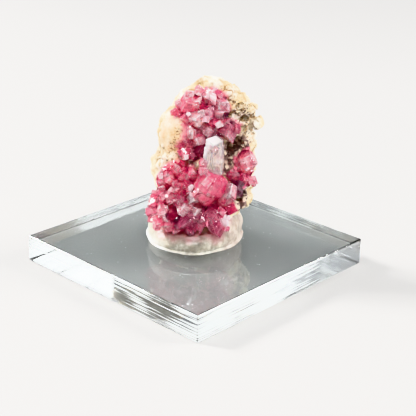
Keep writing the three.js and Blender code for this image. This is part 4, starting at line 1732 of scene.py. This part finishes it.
@dataclass
class Studio:
    """A pale floor, soft light and the camera."""

    floor_side: float = 4.0
    floor_drop: float = 0.00002  # the slab rests on its high spots
    sky: str = "#DDE2E8"
    sky_strength: float = 0.26
    panels: tuple[Panel, ...] = (
        Panel((-0.1, -0.1, 1.0), 0.86, 1.6),
        Panel((-0.9, -0.35, 0.45), 0.9, 1.3),
        Panel((0.75, 0.45, 0.5), 0.92, 1.2),
    )
    panel_fade: float = 0.03
    lights_aim: Triple = (0.0, 0.0, 0.015)
    camera_turns: Triple = (43.18326, 22.68227, 1.32986)  # round the slab, down and askew, in degrees
    camera_place: Triple = (0.114436, -0.119149, 0.074143)  # over the middle of the slab's top
    focal_length: float = 97.12  # in millimetres on a 36 mm sensor
    boxes: tuple[SoftBox, ...] = (
        SoftBox("left_softbox", (-0.33, -0.17, 0.28), 0.1, 5.2),
        SoftBox("right_softbox", (0.26, 0.28, 0.26), 0.16, 3.6),
        SoftBox("front_softbox", (0.22, -0.24, 0.34), 0.06, 1.7),
        SoftBox("low_left_lamp", (-0.15, -0.31, 0.16), 0.014, 0.12),
        SoftBox("left_lamp", (-0.02, -0.36, 0.24), 0.014, 0.12),
        SoftBox("high_lamp", (0.16, -0.1, 0.42), 0.014, 0.12),
        SoftBox("right_lamp", (0.38, 0.0, 0.2), 0.014, 0.12),
        SoftBox("low_right_lamp", (0.34, -0.14, 0.1), 0.014, 0.12),
    )

    def lay_floor(self) -> None:
        """Lays the paper under the slab."""
        bm = bmesh.new()
        bmesh.ops.create_grid(bm, x_segments=8, y_segments=8, size=self.floor_side / 2)
        bm.transform(Matrix.Translation((0.0, 0.0, -self.floor_drop)))
        floor = placed("floor", bm)
        floor.data.materials.append(BackdropPaper().material("uncoated_backdrop_paper"))

    def light(self) -> None:
        """Lights the sky and hangs the soft boxes."""
        world = bpy.data.worlds.new("studio")
        world.use_nodes = True
        tree = world.node_tree
        tree.nodes.clear()
        add = partial(add_node, tree)
        facing = add("TexCoord", {}).outputs["Generated"]
        brightness = add("Math", {"operation": "ADD", 0: self.sky_strength, 1: 0.0})
        for panel in self.panels:
            aim = add(
                "VectorMath",
                {"operation": "DOT_PRODUCT", 0: facing, 1: Vector(panel.direction).normalized()},
            )
            glow = add(
                "MapRange",
                {
                    "From": (panel.edge - self.panel_fade, panel.edge + self.panel_fade),
                    "To Max": panel.brightness, "Value": aim,
                },
            )
            brightness = add("Math", {"operation": "ADD", 0: brightness, 1: glow})
        background = add("Background", {"Color": linear(self.sky), "Strength": brightness})
        add("OutputWorld", {"Surface": background})
        bpy.context.scene.world = world
        for box in self.boxes:
            data = bpy.data.lights.new(box.name, "AREA")
            data.size = box.width
            data.energy = box.power
            lamp = bpy.data.objects.new(box.name, data)
            lamp.location = box.at
            aim = Vector(self.lights_aim) - Vector(box.at)
            lamp.rotation_euler = aim.to_track_quat("-Z", "Y").to_euler()
            bpy.context.scene.collection.objects.link(lamp)

    def set_camera(self) -> None:
        """Places the camera, looking down over a corner of the slab."""
        turn, tilt, roll = (math.radians(degrees) for degrees in self.camera_turns)
        back = Vector(
            (math.sin(turn) * math.cos(tilt), -math.cos(turn) * math.cos(tilt), math.sin(tilt))
        )
        level = Vector((math.cos(turn), math.sin(turn), 0.0))
        upward = back.cross(level)
        right = level * math.cos(roll) + upward * math.sin(roll)
        up = upward * math.cos(roll) - level * math.sin(roll)
        data = bpy.data.cameras.new("camera")
        data.sensor_width = 36.0
        data.lens = self.focal_length
        data.clip_start = 0.01
        camera = bpy.data.objects.new("camera", data)
        place = Matrix((right, up, back)).transposed().to_4x4()
        place.translation = Vector(self.camera_place) + Vector((0.0, 0.0, BASE_HIGH.z))
        camera.matrix_world = place
        bpy.context.scene.collection.objects.link(camera)
        bpy.context.scene.camera = camera

    def develop(self) -> None:
        """Keeps saturated pinks true while the highlights roll off."""
        bpy.context.scene.view_settings.view_transform = "Khronos PBR Neutral"


def main() -> None:
    """Builds every piece in order, then the studio, and reports each piece."""
    logging.basicConfig(level=logging.INFO, format="%(name)s: %(message)s")
    noise.seed_set(NOISE_SEED)
    rock = MatrixRock()
    groups = [
        CrystalGroup(
            name="upper",
            node="upper_pink_crystals",
            mains=UPPER_CRYSTALS,
            crust=[
                ((-0.6, -2.0, 22.6), (3.0, 2.6, 2.2)),
                ((2.6, -2.4, 22.6), (2.6, 2.4, 2.4)),
                ((1.2, -2.8, 19.4), (3.2, 2.6, 2.4)),
                ((-0.6, -2.6, 16.8), (1.9, 2.4, 2.6)),
                ((4.6, -2.4, 19.2), (1.9, 2.0, 1.6)),
            ],
            small_count=170,
            seed=11,
            hollows=(Hollow((0.9, -2.7, 23.2), 0.75, 0.95, 0.1),),
        ),
        CrystalGroup(
            name="lower",
            node="lower_pink_crystals",
            mains=LOWER_CRYSTALS,
            crust=[
                ((-3.2, -3.2, 11.0), (3.3, 2.8, 2.8)),
                ((-4.6, -3.2, 6.8), (3.0, 3.4, 3.6)),
                ((0.6, -3.8, 8.8), (3.6, 2.8, 4.2)),
                ((3.4, -3.6, 7.6), (2.6, 2.6, 3.2)),
            ],
            small_count=360,
            seed=23,
            hollows=(
                Hollow((-3.3, -5.3, 5.9), 1.2, 1.0, 1.0),
                Hollow((-1.6, -4.9, 9.6), 0.5, 0.9, 0.2),
            ),
        ),
        CrystalGroup(
            name="right",
            node="right_pink_crystals",
            mains=RIGHT_CRYSTALS,
            crust=[
                ((7.6, -1.6, 13.4), (1.6, 2.2, 2.2)),
                ((7.2, -2.4, 11.4), (1.9, 2.2, 1.4)),
            ],
            small_count=80,
            seed=37,
        ),
    ]
    meshes = [group.mesh(rock) for group in groups]
    crystals = KDTree(sum(len(bm.verts) for bm in meshes))
    for bm in meshes:
        for vert in bm.verts:
            crystals.insert(vert.co, 0)
    crystals.balance()
    pieces = [AcrylicBase().build(), MountingPutty().build(crystals), rock.build(crystals)]
    ground = rock.ground()
    pieces += [group.build(bm, ground) for group, bm in zip(groups, meshes)]
    pieces.append(ClearCrystal().build())
    for piece in pieces:
        piece.data.calc_loop_triangles()
        log.info("%s has %d triangles", piece.name, len(piece.data.loop_triangles))
    studio = Studio()
    studio.lay_floor()
    studio.light()
    studio.set_camera()
    studio.develop()


if __name__ == "__main__":
    main()
